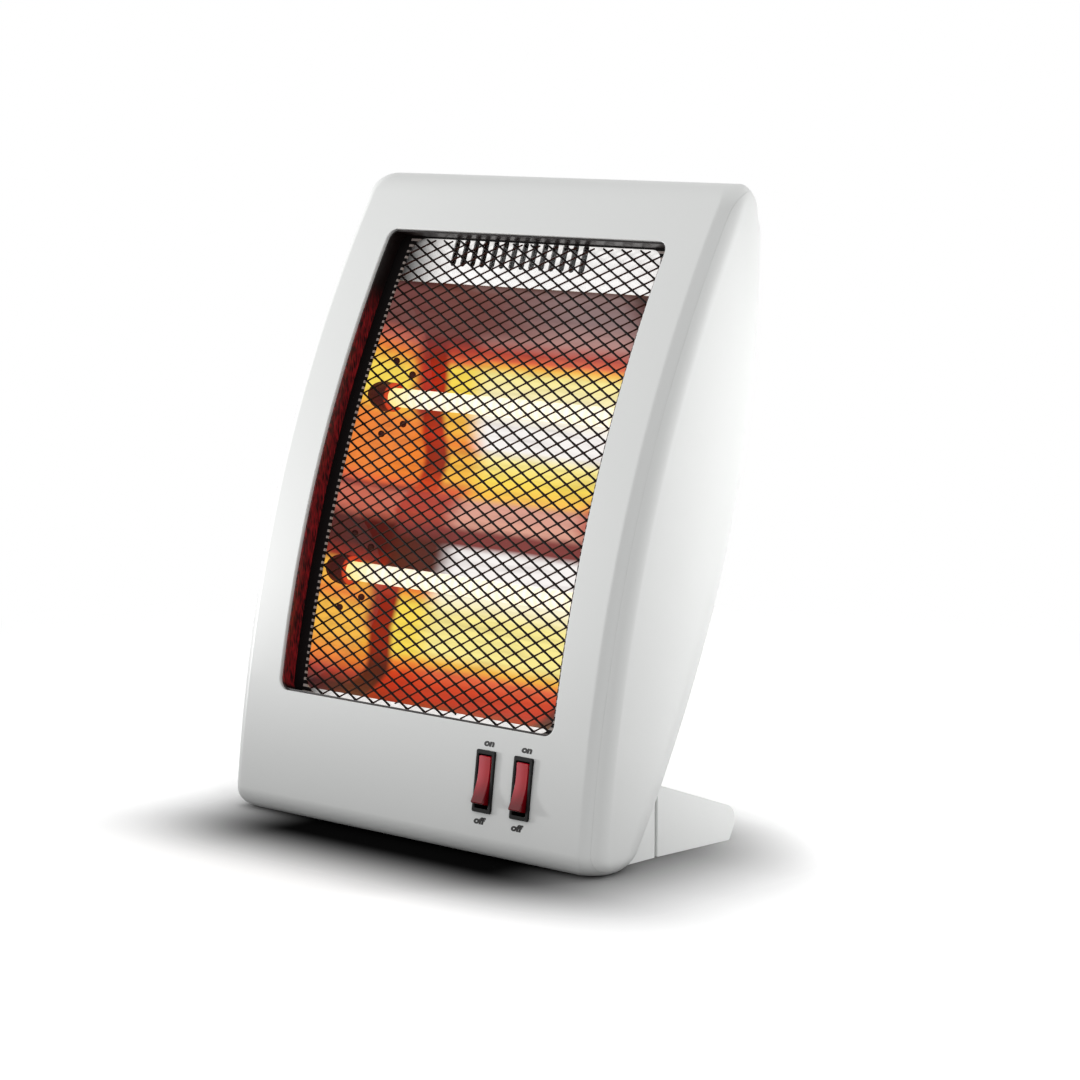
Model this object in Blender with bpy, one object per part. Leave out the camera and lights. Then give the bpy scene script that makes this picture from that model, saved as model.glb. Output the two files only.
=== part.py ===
"""Two-tube quartz room heater, modelled as an assembly of separate parts.

Metres, +Z up. The front faces -Y, and the origin is on the floor under the
middle of the heater. The front is one sheet, flat from side to side and
curved from bottom to top, set in a moulded housing that stands on a plinth
and two rear feet. Chassis, reflector and tubes lean back with the window.
"""

import math

import bmesh
import bpy
from mathutils import Matrix, Vector

MM = 0.001
GAP = 0.3 * MM                      # clearance between parts that seat on each other

# Overall form
WIDTH = 256 * MM
HEIGHT = 330 * MM
BODY_DEPTH = 150 * MM               # from the foremost line above the nose to the rear wall
FRONT_Y = -73 * MM
REAR_Y = FRONT_Y + BODY_DEPTH
WALL = 2.4 * MM                     # moulded wall of bezel and housing

# Front curve: how far the front lies back at full height, by power of z / HEIGHT
SETBACK_LINEAR = 27.5 * MM
SETBACK_SQUARE = 64.3 * MM
SETBACK_CUBIC = 18.6 * MM
NOSE_RADIUS = 12 * MM
TOP_FRONT_RADIUS = 21 * MM

# Sides and rear
SIDE_RADIUS = 13 * MM               # swell of the side behind the crease
CREASE_ANGLE = math.radians(14)
TOP_SIDE_RADIUS = 10 * MM
BOTTOM_SIDE_RADIUS = 8 * MM
REAR_CORNER_WIDTH = 46 * MM
REAR_CORNER_DEPTH = 35 * MM
REAR_FLOOR_Y = -20 * MM             # where the swept rear wall meets the floor
REAR_SWEEP = REAR_Y - REAR_FLOOR_Y
REAR_STRAIGHT = 30 * MM             # the rear wall is upright over this much at the top
REAR_STRAIGHT_HEIGHT = HEIGHT - REAR_STRAIGHT
TOP_LAND = 2.1 * MM                 # flat strip between the front and rear rounds at the top
REAR_BOTTOM_RADIUS = 5 * MM
BEZEL_EDGE = 3.2 * MM               # parting line behind the front surface

# Window
WINDOW_SIDE_MARGIN = 32 * MM
WINDOW_TOP_MARGIN = 28 * MM
WINDOW_HALF_WIDTH = WIDTH / 2 - WINDOW_SIDE_MARGIN
WINDOW_BOTTOM = 66 * MM
WINDOW_TOP = HEIGHT - WINDOW_TOP_MARGIN
WINDOW_CORNER = 6 * MM
COLLAR_DEPTH = 9.7 * MM
COLLAR_WALL = 2 * MM
COLLAR_MARGIN = 12 * MM             # reach of the collar's cutting band past the window

# Guard lattice, and the black ring that lines the window in front of it
GUARD_THICKNESS = 1.2 * MM
GUARD_OVERLAP = 5 * MM              # hidden part of the border, behind the bezel
GUARD_SIDE_BORDER = 9 * MM          # parts of the border that show in the window
GUARD_END_BORDER = 1.6 * MM
GUARD_STRUT = 1.8 * MM
GUARD_COLUMNS = 6
GUARD_ROWS = 14
GUARD_FRAME_FRONT = 1.6 * MM        # the ring starts this far behind the front surface
GUARD_FRAME_THICKNESS = 0.8 * MM

# Chassis plate, in the leaning frame (x across, y inwards, z up the lean)
CHASSIS_THICKNESS = 0.9 * MM
CHASSIS_SIDE_MARGIN = 14 * MM       # from the widest line of the body
CHASSIS_OVER_WINDOW = 4.6 * MM      # reach beyond the top of the window
CHASSIS_UNDER_WINDOW = 1.6 * MM
CHASSIS_HALF_WIDTH = WIDTH / 2 - CHASSIS_SIDE_MARGIN
OPENING_SIDE_MARGIN = 5 * MM        # opening beyond the sides of the window
CHASSIS_OPENING_HALF = WINDOW_HALF_WIDTH + OPENING_SIDE_MARGIN
VENT_PANEL_HEIGHT = 29.5 * MM       # strip with the vents, above the opening
CHASSIS_SILL = 6 * MM               # strip below the opening
VENT_COUNT = 14
VENT_PITCH = 6.9 * MM
VENT_WIDTH = 3 * MM
VENT_LENGTH = 15 * MM
VENT_TOP_MARGIN = 5 * MM
VENT_CENTRE_X = -12 * MM
CHASSIS_SCREW_X = CHASSIS_HALF_WIDTH - 4.5 * MM
CHASSIS_SCREW_DROP = 42 * MM        # upper screws below the plate's top
CHASSIS_SCREW_RISE = 39 * MM        # lower screws above the plate's bottom

# Reflector troughs
REFLECTOR_THICKNESS = 0.8 * MM
TROUGH_DEPTH = 26 * MM
TROUGH_SEGMENTS = 12
RIDGE_SETBACK = 4.5 * MM
RIDGE_TOP = -10 * MM
RIDGE_BOTTOM = -21 * MM
REFLECTOR_FLANGE = 5.5 * MM
END_SLANT = 0.76                    # sideways travel of the end plates per depth
END_MARGIN = 2 * MM
END_FLANGE = 5 * MM

# Quartz tubes and their ceramic caps
TUBE_DEPTH = 11.5 * MM              # tube axis behind the chassis plate
TUBE_UPPER_Z = 39.5 * MM
TUBE_LOWER_Z = -55.5 * MM
TUBE_RADIUS = 5 * MM
TUBE_WALL = 1 * MM
TUBE_END_MARGIN = 7 * MM            # tube end inside the chassis opening
TUBE_HALF_LENGTH = CHASSIS_OPENING_HALF - TUBE_END_MARGIN
CAP_RADIUS = 7.75 * MM
CAP_NECK_RADIUS = 5.5 * MM
CAP_GRIP = 7.5 * MM                 # length of tube that a cap holds
CAP_BODY_REACH = 7 * MM             # wide part of a cap beyond the tube's end
CAP_NECK_LENGTH = 5 * MM
CAP_INNER_X = TUBE_HALF_LENGTH - CAP_GRIP
CAP_SHOULDER_X = TUBE_HALF_LENGTH + CAP_BODY_REACH
CAP_OUTER_X = CAP_SHOULDER_X + CAP_NECK_LENGTH
TERMINAL_RADIUS = 1.5 * MM
TERMINAL_REACH = 6 * MM             # stud beyond its cap
TERMINAL_TIP_X = CAP_OUTER_X + TERMINAL_REACH
TERMINAL_ENTRY = 3 * MM             # how far a terminal reaches into its tube
TERMINAL_NUT_RADIUS = 3 * MM
TERMINAL_NUT_LENGTH = 2 * MM
COIL_RADIUS = 2.8 * MM
COIL_WIRE_RADIUS = 0.45 * MM
COIL_LOOPS = 18
COIL_POINTS_PER_LOOP = 8
COIL_END_MARGIN = 16 * MM           # straight wire in each end of the tube
COIL_HALF_LENGTH = TUBE_HALF_LENGTH - COIL_END_MARGIN
WIRE_SIDES = 4

# Rocker switches
SWITCH_SIDE_MARGIN = 48 * MM
SWITCH_PITCH = 25 * MM
SWITCH_RIGHT_X = WIDTH / 2 - SWITCH_SIDE_MARGIN
SWITCH_LEFT_X = SWITCH_RIGHT_X - SWITCH_PITCH
SWITCH_HEIGHT = 39 * MM
SWITCH_FLANGE_HALF_WIDTH = 6.6 * MM
SWITCH_FLANGE_HALF_LENGTH = 15.5 * MM
SWITCH_FLANGE_THICKNESS = 1.6 * MM
SWITCH_FLANGE_CORNER = 1.2 * MM
SWITCH_BODY_HALF_WIDTH = 5.6 * MM
SWITCH_BODY_HALF_LENGTH = 14.4 * MM
SWITCH_BODY_DEPTH = 17 * MM
POCKET_HALF_WIDTH = 4.5 * MM
POCKET_HALF_LENGTH = 13.4 * MM
POCKET_DEPTH = 9 * MM
ROCKER_HALF_LENGTH = 12 * MM
ROCKER_TILT = math.radians(9)       # each side of level; the rest position is "on"
ROCKER_PIVOT_DEPTH = 3 * MM
ROCKER_CREST = -1.9 * MM
ROCKER_END_DEPTH = 1.5 * MM
ROCKER_KEEL_DEPTH = 7 * MM
TRUNNION_RADIUS = 1.5 * MM
TRUNNION_HALF_LENGTH = 5.3 * MM
TAB_HALF_WIDTH = 2.4 * MM
TAB_THICKNESS = 0.8 * MM
TAB_SLOT_DEPTH = 4 * MM
TAB_LENGTH = 12 * MM
TAB_OFFSET = 8 * MM

# Plinth and feet
PLINTH_SIDE_MARGIN = 12.5 * MM
PLINTH_HALF_WIDTH = WIDTH / 2 - PLINTH_SIDE_MARGIN
PLINTH_FRONT_Y = -46 * MM
PLINTH_REAR_Y = -10 * MM
PLINTH_HEIGHT = 40 * MM
PLINTH_CORNER = 3 * MM
FOOT_WIDTH = 38 * MM
FOOT_REAR_Y = 46.5 * MM
FOOT_HIGH = 36.5 * MM
FOOT_LOW = 19 * MM
FOOT_FLARE = 3.5 * MM
FOOT_HEEL_RADIUS = 8 * MM
FOOT_HEEL_TURN = math.radians(75)
FOOT_HEEL_STEPS = 4
FOOT_WALL = 2.2 * MM
FOOT_SCREW_HEIGHT = 11 * MM
DRIVER_HOLE_RADIUS = 4 * MM

# Screws
SCREW_RADIUS = 1.5 * MM
SCREW_HEAD_RADIUS = 3 * MM
SCREW_HEAD_HEIGHT = 2 * MM
SCREW_LENGTH = 14 * MM
SHORT_SCREW_LENGTH = 8 * MM
BOSS_RADIUS = 4.5 * MM
HOUSING_SCREW_SIDE_MARGIN = 32 * MM
HOUSING_SCREW_DROP = 18 * MM
HOUSING_SCREW_TOP = (WIDTH / 2 - HOUSING_SCREW_SIDE_MARGIN, HEIGHT - HOUSING_SCREW_DROP)
HOUSING_SCREW_LOW = (30 * MM, 20 * MM)
BEZEL_BOSS_LENGTH = 19 * MM
SCREW_SEAT_THICKNESS = 5 * MM
PILOT_SPARE = 1.2 * MM              # depth of a screw's hole beyond its tip
POST_RADIUS = 5.7 * MM

# Tip-over switch under the floor of the housing
TIP_X = -66 * MM
TIP_Y = -42 * MM
PLUNGER_RADIUS = 4.5 * MM
PLUNGER_CHAMFER = 1 * MM
PLUNGER_COLLAR_RADIUS = 6.2 * MM
PLUNGER_COLLAR_BOTTOM = 8 * MM
PLUNGER_COLLAR_TOP = 10 * MM
PLUNGER_STEM_RADIUS = 2 * MM
PLUNGER_STEM_TOP = 24 * MM
SLEEVE_WALL = 1.8 * MM
SLEEVE_TOP = 20 * MM
TIP_SPRING_WIRE = 0.4 * MM
TIP_SPRING_LOOPS = 4
TIP_SWITCH_LENGTH = 30 * MM
TIP_SWITCH_WIDTH = 14 * MM
TIP_SWITCH_HEIGHT = 13 * MM
TIP_SWITCH_CORNER = 1 * MM
TIP_TAB_OFFSET = 9 * MM
TIP_WELL_SPARE = 2 * MM             # room above the stem for its upward travel

# Handle recess, vents and cord gland in the rear wall
HANDLE_HALF_WIDTH = 55 * MM
HANDLE_TOP_MARGIN = 40 * MM
HANDLE_OPENING = 28 * MM
HANDLE_TOP = HEIGHT - HANDLE_TOP_MARGIN
HANDLE_BOTTOM = HANDLE_TOP - HANDLE_OPENING
HANDLE_DEPTH = 22 * MM
HANDLE_CORNER = 8 * MM
REAR_VENT_COUNT = 10
REAR_VENT_PITCH = 13 * MM
REAR_VENT_WIDTH = 4 * MM
REAR_VENT_LENGTH = 32 * MM
REAR_VENT_DROP = 86 * MM            # upper ends of the upper row below the top
REAR_VENT_HIGH = HEIGHT - REAR_VENT_DROP - REAR_VENT_LENGTH
REAR_VENT_LOW = 86 * MM             # lower ends of the lower row
GLAND_X = 40 * MM
GLAND_HEIGHT = 46 * MM
GLAND_PAD_RADIUS = 11 * MM
GLAND_PAD_PROUD = 8 * MM
GLAND_NECK_RADIUS = 5.5 * MM
GLAND_FLANGE_RADIUS = 8 * MM
GLAND_FLANGE_THICKNESS = 2 * MM
GLAND_BORE_RADIUS = 3.6 * MM
GLAND_LENGTH = 10 * MM              # behind the flange, through the pad

# Terminal block on the floor of the housing
BLOCK_LENGTH = 32 * MM
BLOCK_WIDTH = 17 * MM
BLOCK_HEIGHT = 13 * MM
BLOCK_Y = -42 * MM
BLOCK_POLES = 3
BLOCK_WIRE_RADIUS = 2 * MM
BLOCK_CORNER = 1.5 * MM

FAR = 200 * MM                      # reach of long cutting shapes beyond the body
NEAR = 20 * MM                      # reach of cutting shapes that must not go far
LATHE_SEGMENTS = 16
HOLE_SEGMENTS = 16

SIDES = (("left", -1), ("right", 1))
LEVELS = (("upper", TUBE_UPPER_Z), ("lower", TUBE_LOWER_Z))


# Scene and object helpers

def clear_scene():
    for item in list(bpy.data.objects):
        bpy.data.objects.remove(item, do_unlink=True)


def material(name, colour, roughness, metallic=0.0):
    made = bpy.data.materials.new(name)
    made.use_nodes = True
    shader = made.node_tree.nodes["Principled BSDF"]
    shader.inputs["Base Color"].default_value = (*colour, 1.0)
    shader.inputs["Roughness"].default_value = roughness
    shader.inputs["Metallic"].default_value = metallic
    made.diffuse_color = (*colour, 1.0)
    return made


def frame(name, location=(0, 0, 0), lean=0.0, spin=None, parent=None):
    """An empty that leans back by the given angle, or is turned by a matrix."""
    empty = bpy.data.objects.new(name, None)
    bpy.context.scene.collection.objects.link(empty)
    empty.parent = parent
    turn = spin if spin else Matrix.Rotation(-lean, 4, "X")
    empty.matrix_local = Matrix.Translation(location) @ turn
    return empty


def add(name, mesh, finish=None, parent=None, smooth=None):
    """Link a mesh as a part, or as a wire guide where it has no finish."""
    item = bpy.data.objects.new(name, mesh)
    bpy.context.scene.collection.objects.link(item)
    item.parent = parent
    if finish:
        mesh.materials.append(finish)
    else:
        item.hide_render = True
        item.display_type = "WIRE"
    if smooth:
        mesh.shade_smooth()
        mesh.set_sharp_from_angle(angle=math.radians(smooth))
    return item


def boolean(target, tool, operation="DIFFERENCE"):
    step = target.modifiers.new(tool.name, "BOOLEAN")
    step.object = tool
    step.operation = operation
    step.solver = "EXACT"


def mesh_from(name, points, faces):
    mesh = bpy.data.meshes.new(name)
    mesh.from_pydata([tuple(p) for p in points], [], faces)
    work = bmesh.new()
    work.from_mesh(mesh)
    bmesh.ops.recalc_face_normals(work, faces=work.faces)
    work.to_mesh(mesh)
    work.free()
    return mesh


def loft(name, rings, closed=False):
    """Skin rings of equal count; the ends are capped unless the loft closes on itself."""
    count = len(rings[0])
    points = [point for ring in rings for point in ring]
    faces = []
    last = len(rings) if closed else len(rings) - 1
    for row in range(last):
        above = (row + 1) % len(rings)
        for column in range(count):
            beside = (column + 1) % count
            faces.append((row * count + column, row * count + beside,
                          above * count + beside, above * count + column))
    if not closed:
        faces.append(tuple(range(count)))
        faces.append(tuple((len(rings) - 1) * count + i for i in range(count)))
    return mesh_from(name, points, faces)


def prism(name, outline, start, end, along="x"):
    """Extrude a 2-D outline. Along x it is (y, z), along y (x, z), along z (x, y)."""
    place = {
        "x": lambda a, b, c: (c, a, b),
        "y": lambda a, b, c: (a, c, b),
        "z": lambda a, b, c: (a, b, c),
    }[along]
    return loft(name, [[place(a, b, c) for a, b in outline] for c in (start, end)])


def rounded_rectangle(half_a, half_b, radius, centre=(0, 0), steps=4):
    points = []
    for turn, (sign_a, sign_b) in enumerate(((1, 1), (-1, 1), (-1, -1), (1, -1))):
        for step in range(steps + 1):
            angle = math.radians(90) * (turn + step / steps)
            points.append((
                centre[0] + sign_a * (half_a - radius) + radius * math.cos(angle),
                centre[1] + sign_b * (half_b - radius) + radius * math.sin(angle),
            ))
    return points


def rectangle(low_a, high_a, low_b, high_b):
    return [(low_a, low_b), (high_a, low_b), (high_a, high_b), (low_a, high_b)]


def lathe(name, profile, along="z", centre=(0, 0, 0), segments=LATHE_SEGMENTS):
    """Turn a closed profile of (radius, height); radius 0 lies on the axis."""
    place = {
        "x": lambda a, b, h: (h, a, b),
        "y": lambda a, b, h: (a, h, b),
        "z": lambda a, b, h: (a, b, h),
    }[along]
    points = []
    rings = []
    for radius, height in profile:
        first = len(points)
        total = segments if radius > 0 else 1
        for i in range(total):
            angle = 2 * math.pi * i / segments
            spot = place(radius * math.cos(angle), radius * math.sin(angle), height)
            points.append(Vector(spot) + Vector(centre))
        rings.append([first + (i if total > 1 else 0) for i in range(segments)])
    faces = []
    for ring, following in zip(rings, rings[1:] + rings[:1]):
        for i in range(segments):
            j = (i + 1) % segments
            corners = []
            for corner in (ring[i], ring[j], following[j], following[i]):
                if corner not in corners:
                    corners.append(corner)
            if len(corners) > 2:
                faces.append(tuple(corners))
    return mesh_from(name, points, faces)


def rod(name, radius, start, end, along="z", centre=(0, 0, 0), segments=LATHE_SEGMENTS):
    return lathe(name, [(0, start), (radius, start), (radius, end), (0, end)],
                 along, centre, segments)


def swept_wire(name, path, radius, sides=WIRE_SIDES):
    """A wire along a list of points, square to the path at both ends."""
    rings = []
    side = None
    for index, point in enumerate(path):
        before = path[max(index - 1, 0)]
        after = path[min(index + 1, len(path) - 1)]
        heading = (after - before).normalized()
        if side is None:
            side = heading.orthogonal().normalized()
        side = (side - heading * side.dot(heading)).normalized()
        up = heading.cross(side)
        rings.append([
            point + radius * (math.cos(2 * math.pi * i / sides) * side
                              + math.sin(2 * math.pi * i / sides) * up)
            for i in range(sides)
        ])
    return loft(name, rings)


# Front curve

def setback(z):
    t = z / HEIGHT
    return SETBACK_LINEAR * t + SETBACK_SQUARE * t ** 2 + SETBACK_CUBIC * t ** 3


def front_y(z):
    return FRONT_Y + setback(z) - setback(NOSE_RADIUS)


def front_angle(z):
    """Lean of the front surface from upright at height z."""
    t = z / HEIGHT
    rise = SETBACK_LINEAR + 2 * SETBACK_SQUARE * t + 3 * SETBACK_CUBIC * t ** 2
    return math.atan(rise / HEIGHT)


def top_arc():
    """Centre (y, z) of the arc over the front top edge, and its starting angle."""
    start = HEIGHT - TOP_FRONT_RADIUS / 2
    for _ in range(30):
        start = HEIGHT - TOP_FRONT_RADIUS * (1 - math.sin(front_angle(start)))
    angle = front_angle(start)
    centre_y = front_y(start) + TOP_FRONT_RADIUS * math.cos(angle)
    return centre_y, HEIGHT - TOP_FRONT_RADIUS, angle, start


ARC_Y, ARC_Z, ARC_ANGLE, ARC_START = top_arc()
NOSE_Y = front_y(NOSE_RADIUS) + NOSE_RADIUS
REAR_TOP_RADIUS = REAR_Y - ARC_Y - TOP_LAND


def behind_front(z, depth):
    """The point (y, z) at a depth square to the front surface at height z."""
    angle = front_angle(z)
    return front_y(z) + depth * math.cos(angle), z - depth * math.sin(angle)


def front_steps(low, high, count):
    return [low + (high - low) * i / count for i in range(count + 1)]


# Body outlines

def root(value):
    return math.sqrt(max(value, 0.0))


def front_line(z, inset):
    if z < NOSE_RADIUS:
        round_off = NOSE_RADIUS - root((NOSE_RADIUS - inset) ** 2 - (NOSE_RADIUS - z) ** 2)
        return front_y(z) + round_off
    if z < ARC_Z + (TOP_FRONT_RADIUS - inset) * math.sin(ARC_ANGLE):
        return front_y(z) + inset / math.cos(front_angle(z))
    return ARC_Y - root((TOP_FRONT_RADIUS - inset) ** 2 - (z - ARC_Z) ** 2)


def rear_line(z, inset):
    top_centre = HEIGHT - REAR_TOP_RADIUS
    if z > top_centre:
        return REAR_Y - REAR_TOP_RADIUS + root((REAR_TOP_RADIUS - inset) ** 2 - (z - top_centre) ** 2)
    share = max(1 - z / REAR_STRAIGHT_HEIGHT, 0.0)
    slope = math.atan(2 * REAR_SWEEP / REAR_STRAIGHT_HEIGHT * share)
    sweep = REAR_SWEEP * share ** 2
    if z < REAR_BOTTOM_RADIUS:
        drop = (REAR_BOTTOM_RADIUS - inset) ** 2 - (REAR_BOTTOM_RADIUS - z) ** 2
        return REAR_Y - sweep - REAR_BOTTOM_RADIUS + root(drop)
    return REAR_Y - sweep - inset / math.cos(slope)


def half_width(z, inset):
    top_centre = HEIGHT - TOP_SIDE_RADIUS
    if z > top_centre:
        return WIDTH / 2 - TOP_SIDE_RADIUS + root((TOP_SIDE_RADIUS - inset) ** 2 - (z - top_centre) ** 2)
    if z < BOTTOM_SIDE_RADIUS:
        drop = (BOTTOM_SIDE_RADIUS - inset) ** 2 - (BOTTOM_SIDE_RADIUS - z) ** 2
        return WIDTH / 2 - BOTTOM_SIDE_RADIUS + root(drop)
    return WIDTH / 2 - inset


def body_outline(z, inset, side_steps, corner_steps):
    """Level section of the body: flat front, swelling side, elliptical rear corner."""
    front = front_line(z, inset)
    rear = rear_line(z, inset)
    half = half_width(z, inset)
    side_radius = SIDE_RADIUS - inset
    corner_depth = REAR_CORNER_DEPTH - inset
    corner_width = REAR_CORNER_WIDTH - inset
    wanted = side_radius * math.cos(CREASE_ANGLE) + corner_depth
    squeeze = min(1.0, 0.96 * (rear - front) / wanted)
    right = []
    for step in range(side_steps + 1):
        angle = CREASE_ANGLE + (math.pi / 2 - CREASE_ANGLE) * step / side_steps
        right.append((
            half - side_radius * (1 - math.sin(angle)),
            front + squeeze * side_radius * (math.cos(CREASE_ANGLE) - math.cos(angle)),
        ))
    for step in range(corner_steps + 1):
        angle = math.pi / 2 * step / corner_steps
        right.append((
            half - corner_width * (1 - math.cos(angle)),
            rear - squeeze * corner_depth * (1 - math.sin(angle)),
        ))
    left = [(-x, y) for x, y in reversed(right)]
    return [(x, y, z) for x, y in right + left]


def body_heights(inset, nose_steps, rows, top_steps):
    """Heights of the sections: close together in the nose and top rounds."""
    quarter = math.pi / 2
    nose = [NOSE_RADIUS - (NOSE_RADIUS - inset) * math.cos(quarter * i / nose_steps)
            for i in range(nose_steps)]
    top_centre = HEIGHT - REAR_TOP_RADIUS
    top = [top_centre + (REAR_TOP_RADIUS - inset) * math.sin(quarter * i / top_steps)
           for i in range(1, top_steps + 1)]
    return nose + front_steps(NOSE_RADIUS, top_centre, rows) + top


def body_mesh(name, inset, fineness="fine"):
    """The whole body, or its hollow where inset is the wall. Fineness sets the facets."""
    nose_steps, rows, top_steps, side_steps, corner_steps = {
        "fine": (5, 18, 7, 4, 7), "plain": (4, 12, 6, 4, 7), "coarse": (3, 9, 4, 2, 4)}[fineness]
    heights = body_heights(inset, nose_steps, rows, top_steps)
    return loft(name, [body_outline(z, inset, side_steps, corner_steps) for z in heights])


def front_region(name, depth, clearance=0.0):
    """Everything in front of the parting line, as one long prism."""
    quarter = math.pi / 2
    reach = depth + clearance
    outline = [(NOSE_Y + clearance, -FAR)]
    for step in range(7):
        angle = quarter * step / 6
        outline.append((NOSE_Y + clearance - (NOSE_RADIUS - depth) * math.sin(angle),
                        NOSE_RADIUS - (NOSE_RADIUS - reach) * math.cos(angle)))
    for z in front_steps(NOSE_RADIUS, ARC_START, 24)[1:]:
        outline.append(behind_front(z, reach))
    for step in range(1, 7):
        angle = ARC_ANGLE + (quarter - ARC_ANGLE) * step / 6
        outline.append((ARC_Y + clearance * step / 6 - (TOP_FRONT_RADIUS - reach) * math.cos(angle),
                        ARC_Z + (TOP_FRONT_RADIUS - reach) * math.sin(angle)))
    outline += [(ARC_Y + clearance, HEIGHT + FAR), (-2 * FAR, HEIGHT + FAR), (-2 * FAR, -FAR)]
    return prism(name, outline, -FAR, FAR)


def front_band(name, near, far, low, high, half_width_x):
    """A curved slab between two depths behind the front surface."""
    steps = front_steps(low, high, 12)
    outline = [behind_front(z, near) for z in steps]
    outline += [behind_front(z, far) for z in reversed(steps)]
    return prism(name, outline, -half_width_x, half_width_x)


# Leaning frame of the window, chassis and tubes

WINDOW_LEAN = math.atan2(front_y(WINDOW_TOP) - front_y(WINDOW_BOTTOM), WINDOW_TOP - WINDOW_BOTTOM)
WINDOW_MIDDLE = Vector((
    0,
    (front_y(WINDOW_TOP) + front_y(WINDOW_BOTTOM)) / 2,
    (WINDOW_TOP + WINDOW_BOTTOM) / 2,
))
WINDOW_HALF_LENGTH = (WINDOW_TOP - WINDOW_BOTTOM) / 2 / math.cos(WINDOW_LEAN)
TO_LEAN = (Matrix.Translation(WINDOW_MIDDLE) @ Matrix.Rotation(-WINDOW_LEAN, 4, "X")).inverted()

CHASSIS_TOP = WINDOW_HALF_LENGTH + CHASSIS_OVER_WINDOW
CHASSIS_BOTTOM = -WINDOW_HALF_LENGTH - CHASSIS_UNDER_WINDOW
CHASSIS_OPENING_TOP = CHASSIS_TOP - VENT_PANEL_HEIGHT
CHASSIS_OPENING_BOTTOM = CHASSIS_BOTTOM + CHASSIS_SILL
VENT_TOP = CHASSIS_TOP - VENT_TOP_MARGIN
VENT_BOTTOM = VENT_TOP - VENT_LENGTH


def guard_reach():
    """Depth in the leaning frame of the back of the guard at its two ends."""
    depths = []
    for z in (WINDOW_BOTTOM - GUARD_OVERLAP, WINDOW_TOP + GUARD_OVERLAP):
        y, height = behind_front(z, COLLAR_DEPTH + GAP + GUARD_THICKNESS)
        depths.append((TO_LEAN @ Vector((0, y, height))).y)
    return max(depths)


def front_at_lean(height):
    """Depth in the leaning frame of the front surface, at a height along the lean."""
    low, high = NOSE_RADIUS, ARC_START
    for _ in range(40):
        z = (low + high) / 2
        if (TO_LEAN @ Vector((0, front_y(z), z))).z < height:
            low = z
        else:
            high = z
    return (TO_LEAN @ Vector((0, front_y(low), low))).y


CHASSIS_FACE = guard_reach() + GAP
CHASSIS_BACK = CHASSIS_FACE + CHASSIS_THICKNESS
REFLECTOR_FACE = CHASSIS_BACK + GAP
TUBE_Y = CHASSIS_FACE + TUBE_DEPTH


# Bezel

def screw_places():
    """Housing screws as (name, x, z, y of the seam between boss and post)."""
    places = []
    for level, (x, z) in (("top", HOUSING_SCREW_TOP), ("low", HOUSING_SCREW_LOW)):
        for side, sign in SIDES:
            seam = front_y(z) + BEZEL_BOSS_LENGTH
            places.append((level + "_" + side, sign * x, z, seam))
    return places


def switch_frames():
    lean = front_angle(SWITCH_HEIGHT)
    return {
        "left": frame("switch_frame_left", (SWITCH_LEFT_X, front_y(SWITCH_HEIGHT), SWITCH_HEIGHT), lean),
        "right": frame("switch_frame_right", (SWITCH_RIGHT_X, front_y(SWITCH_HEIGHT), SWITCH_HEIGHT), lean),
    }


def build_boss_limit():
    """The body without the outer half of its walls, which trims every boss and post."""
    limit = add("boss_limit", body_mesh("boss_limit", WALL / 2, "plain"))
    boolean(limit, plinth("plinth_limit", WALL / 2), "UNION")
    return limit


def add_boss(target, mesh, limit, parent=None):
    """Join a boss to a shell, trimmed to end in the middle of the wall."""
    boss = add(mesh.name, mesh, parent=parent)
    boolean(boss, limit, "INTERSECT")
    boolean(target, boss, "UNION")


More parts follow.
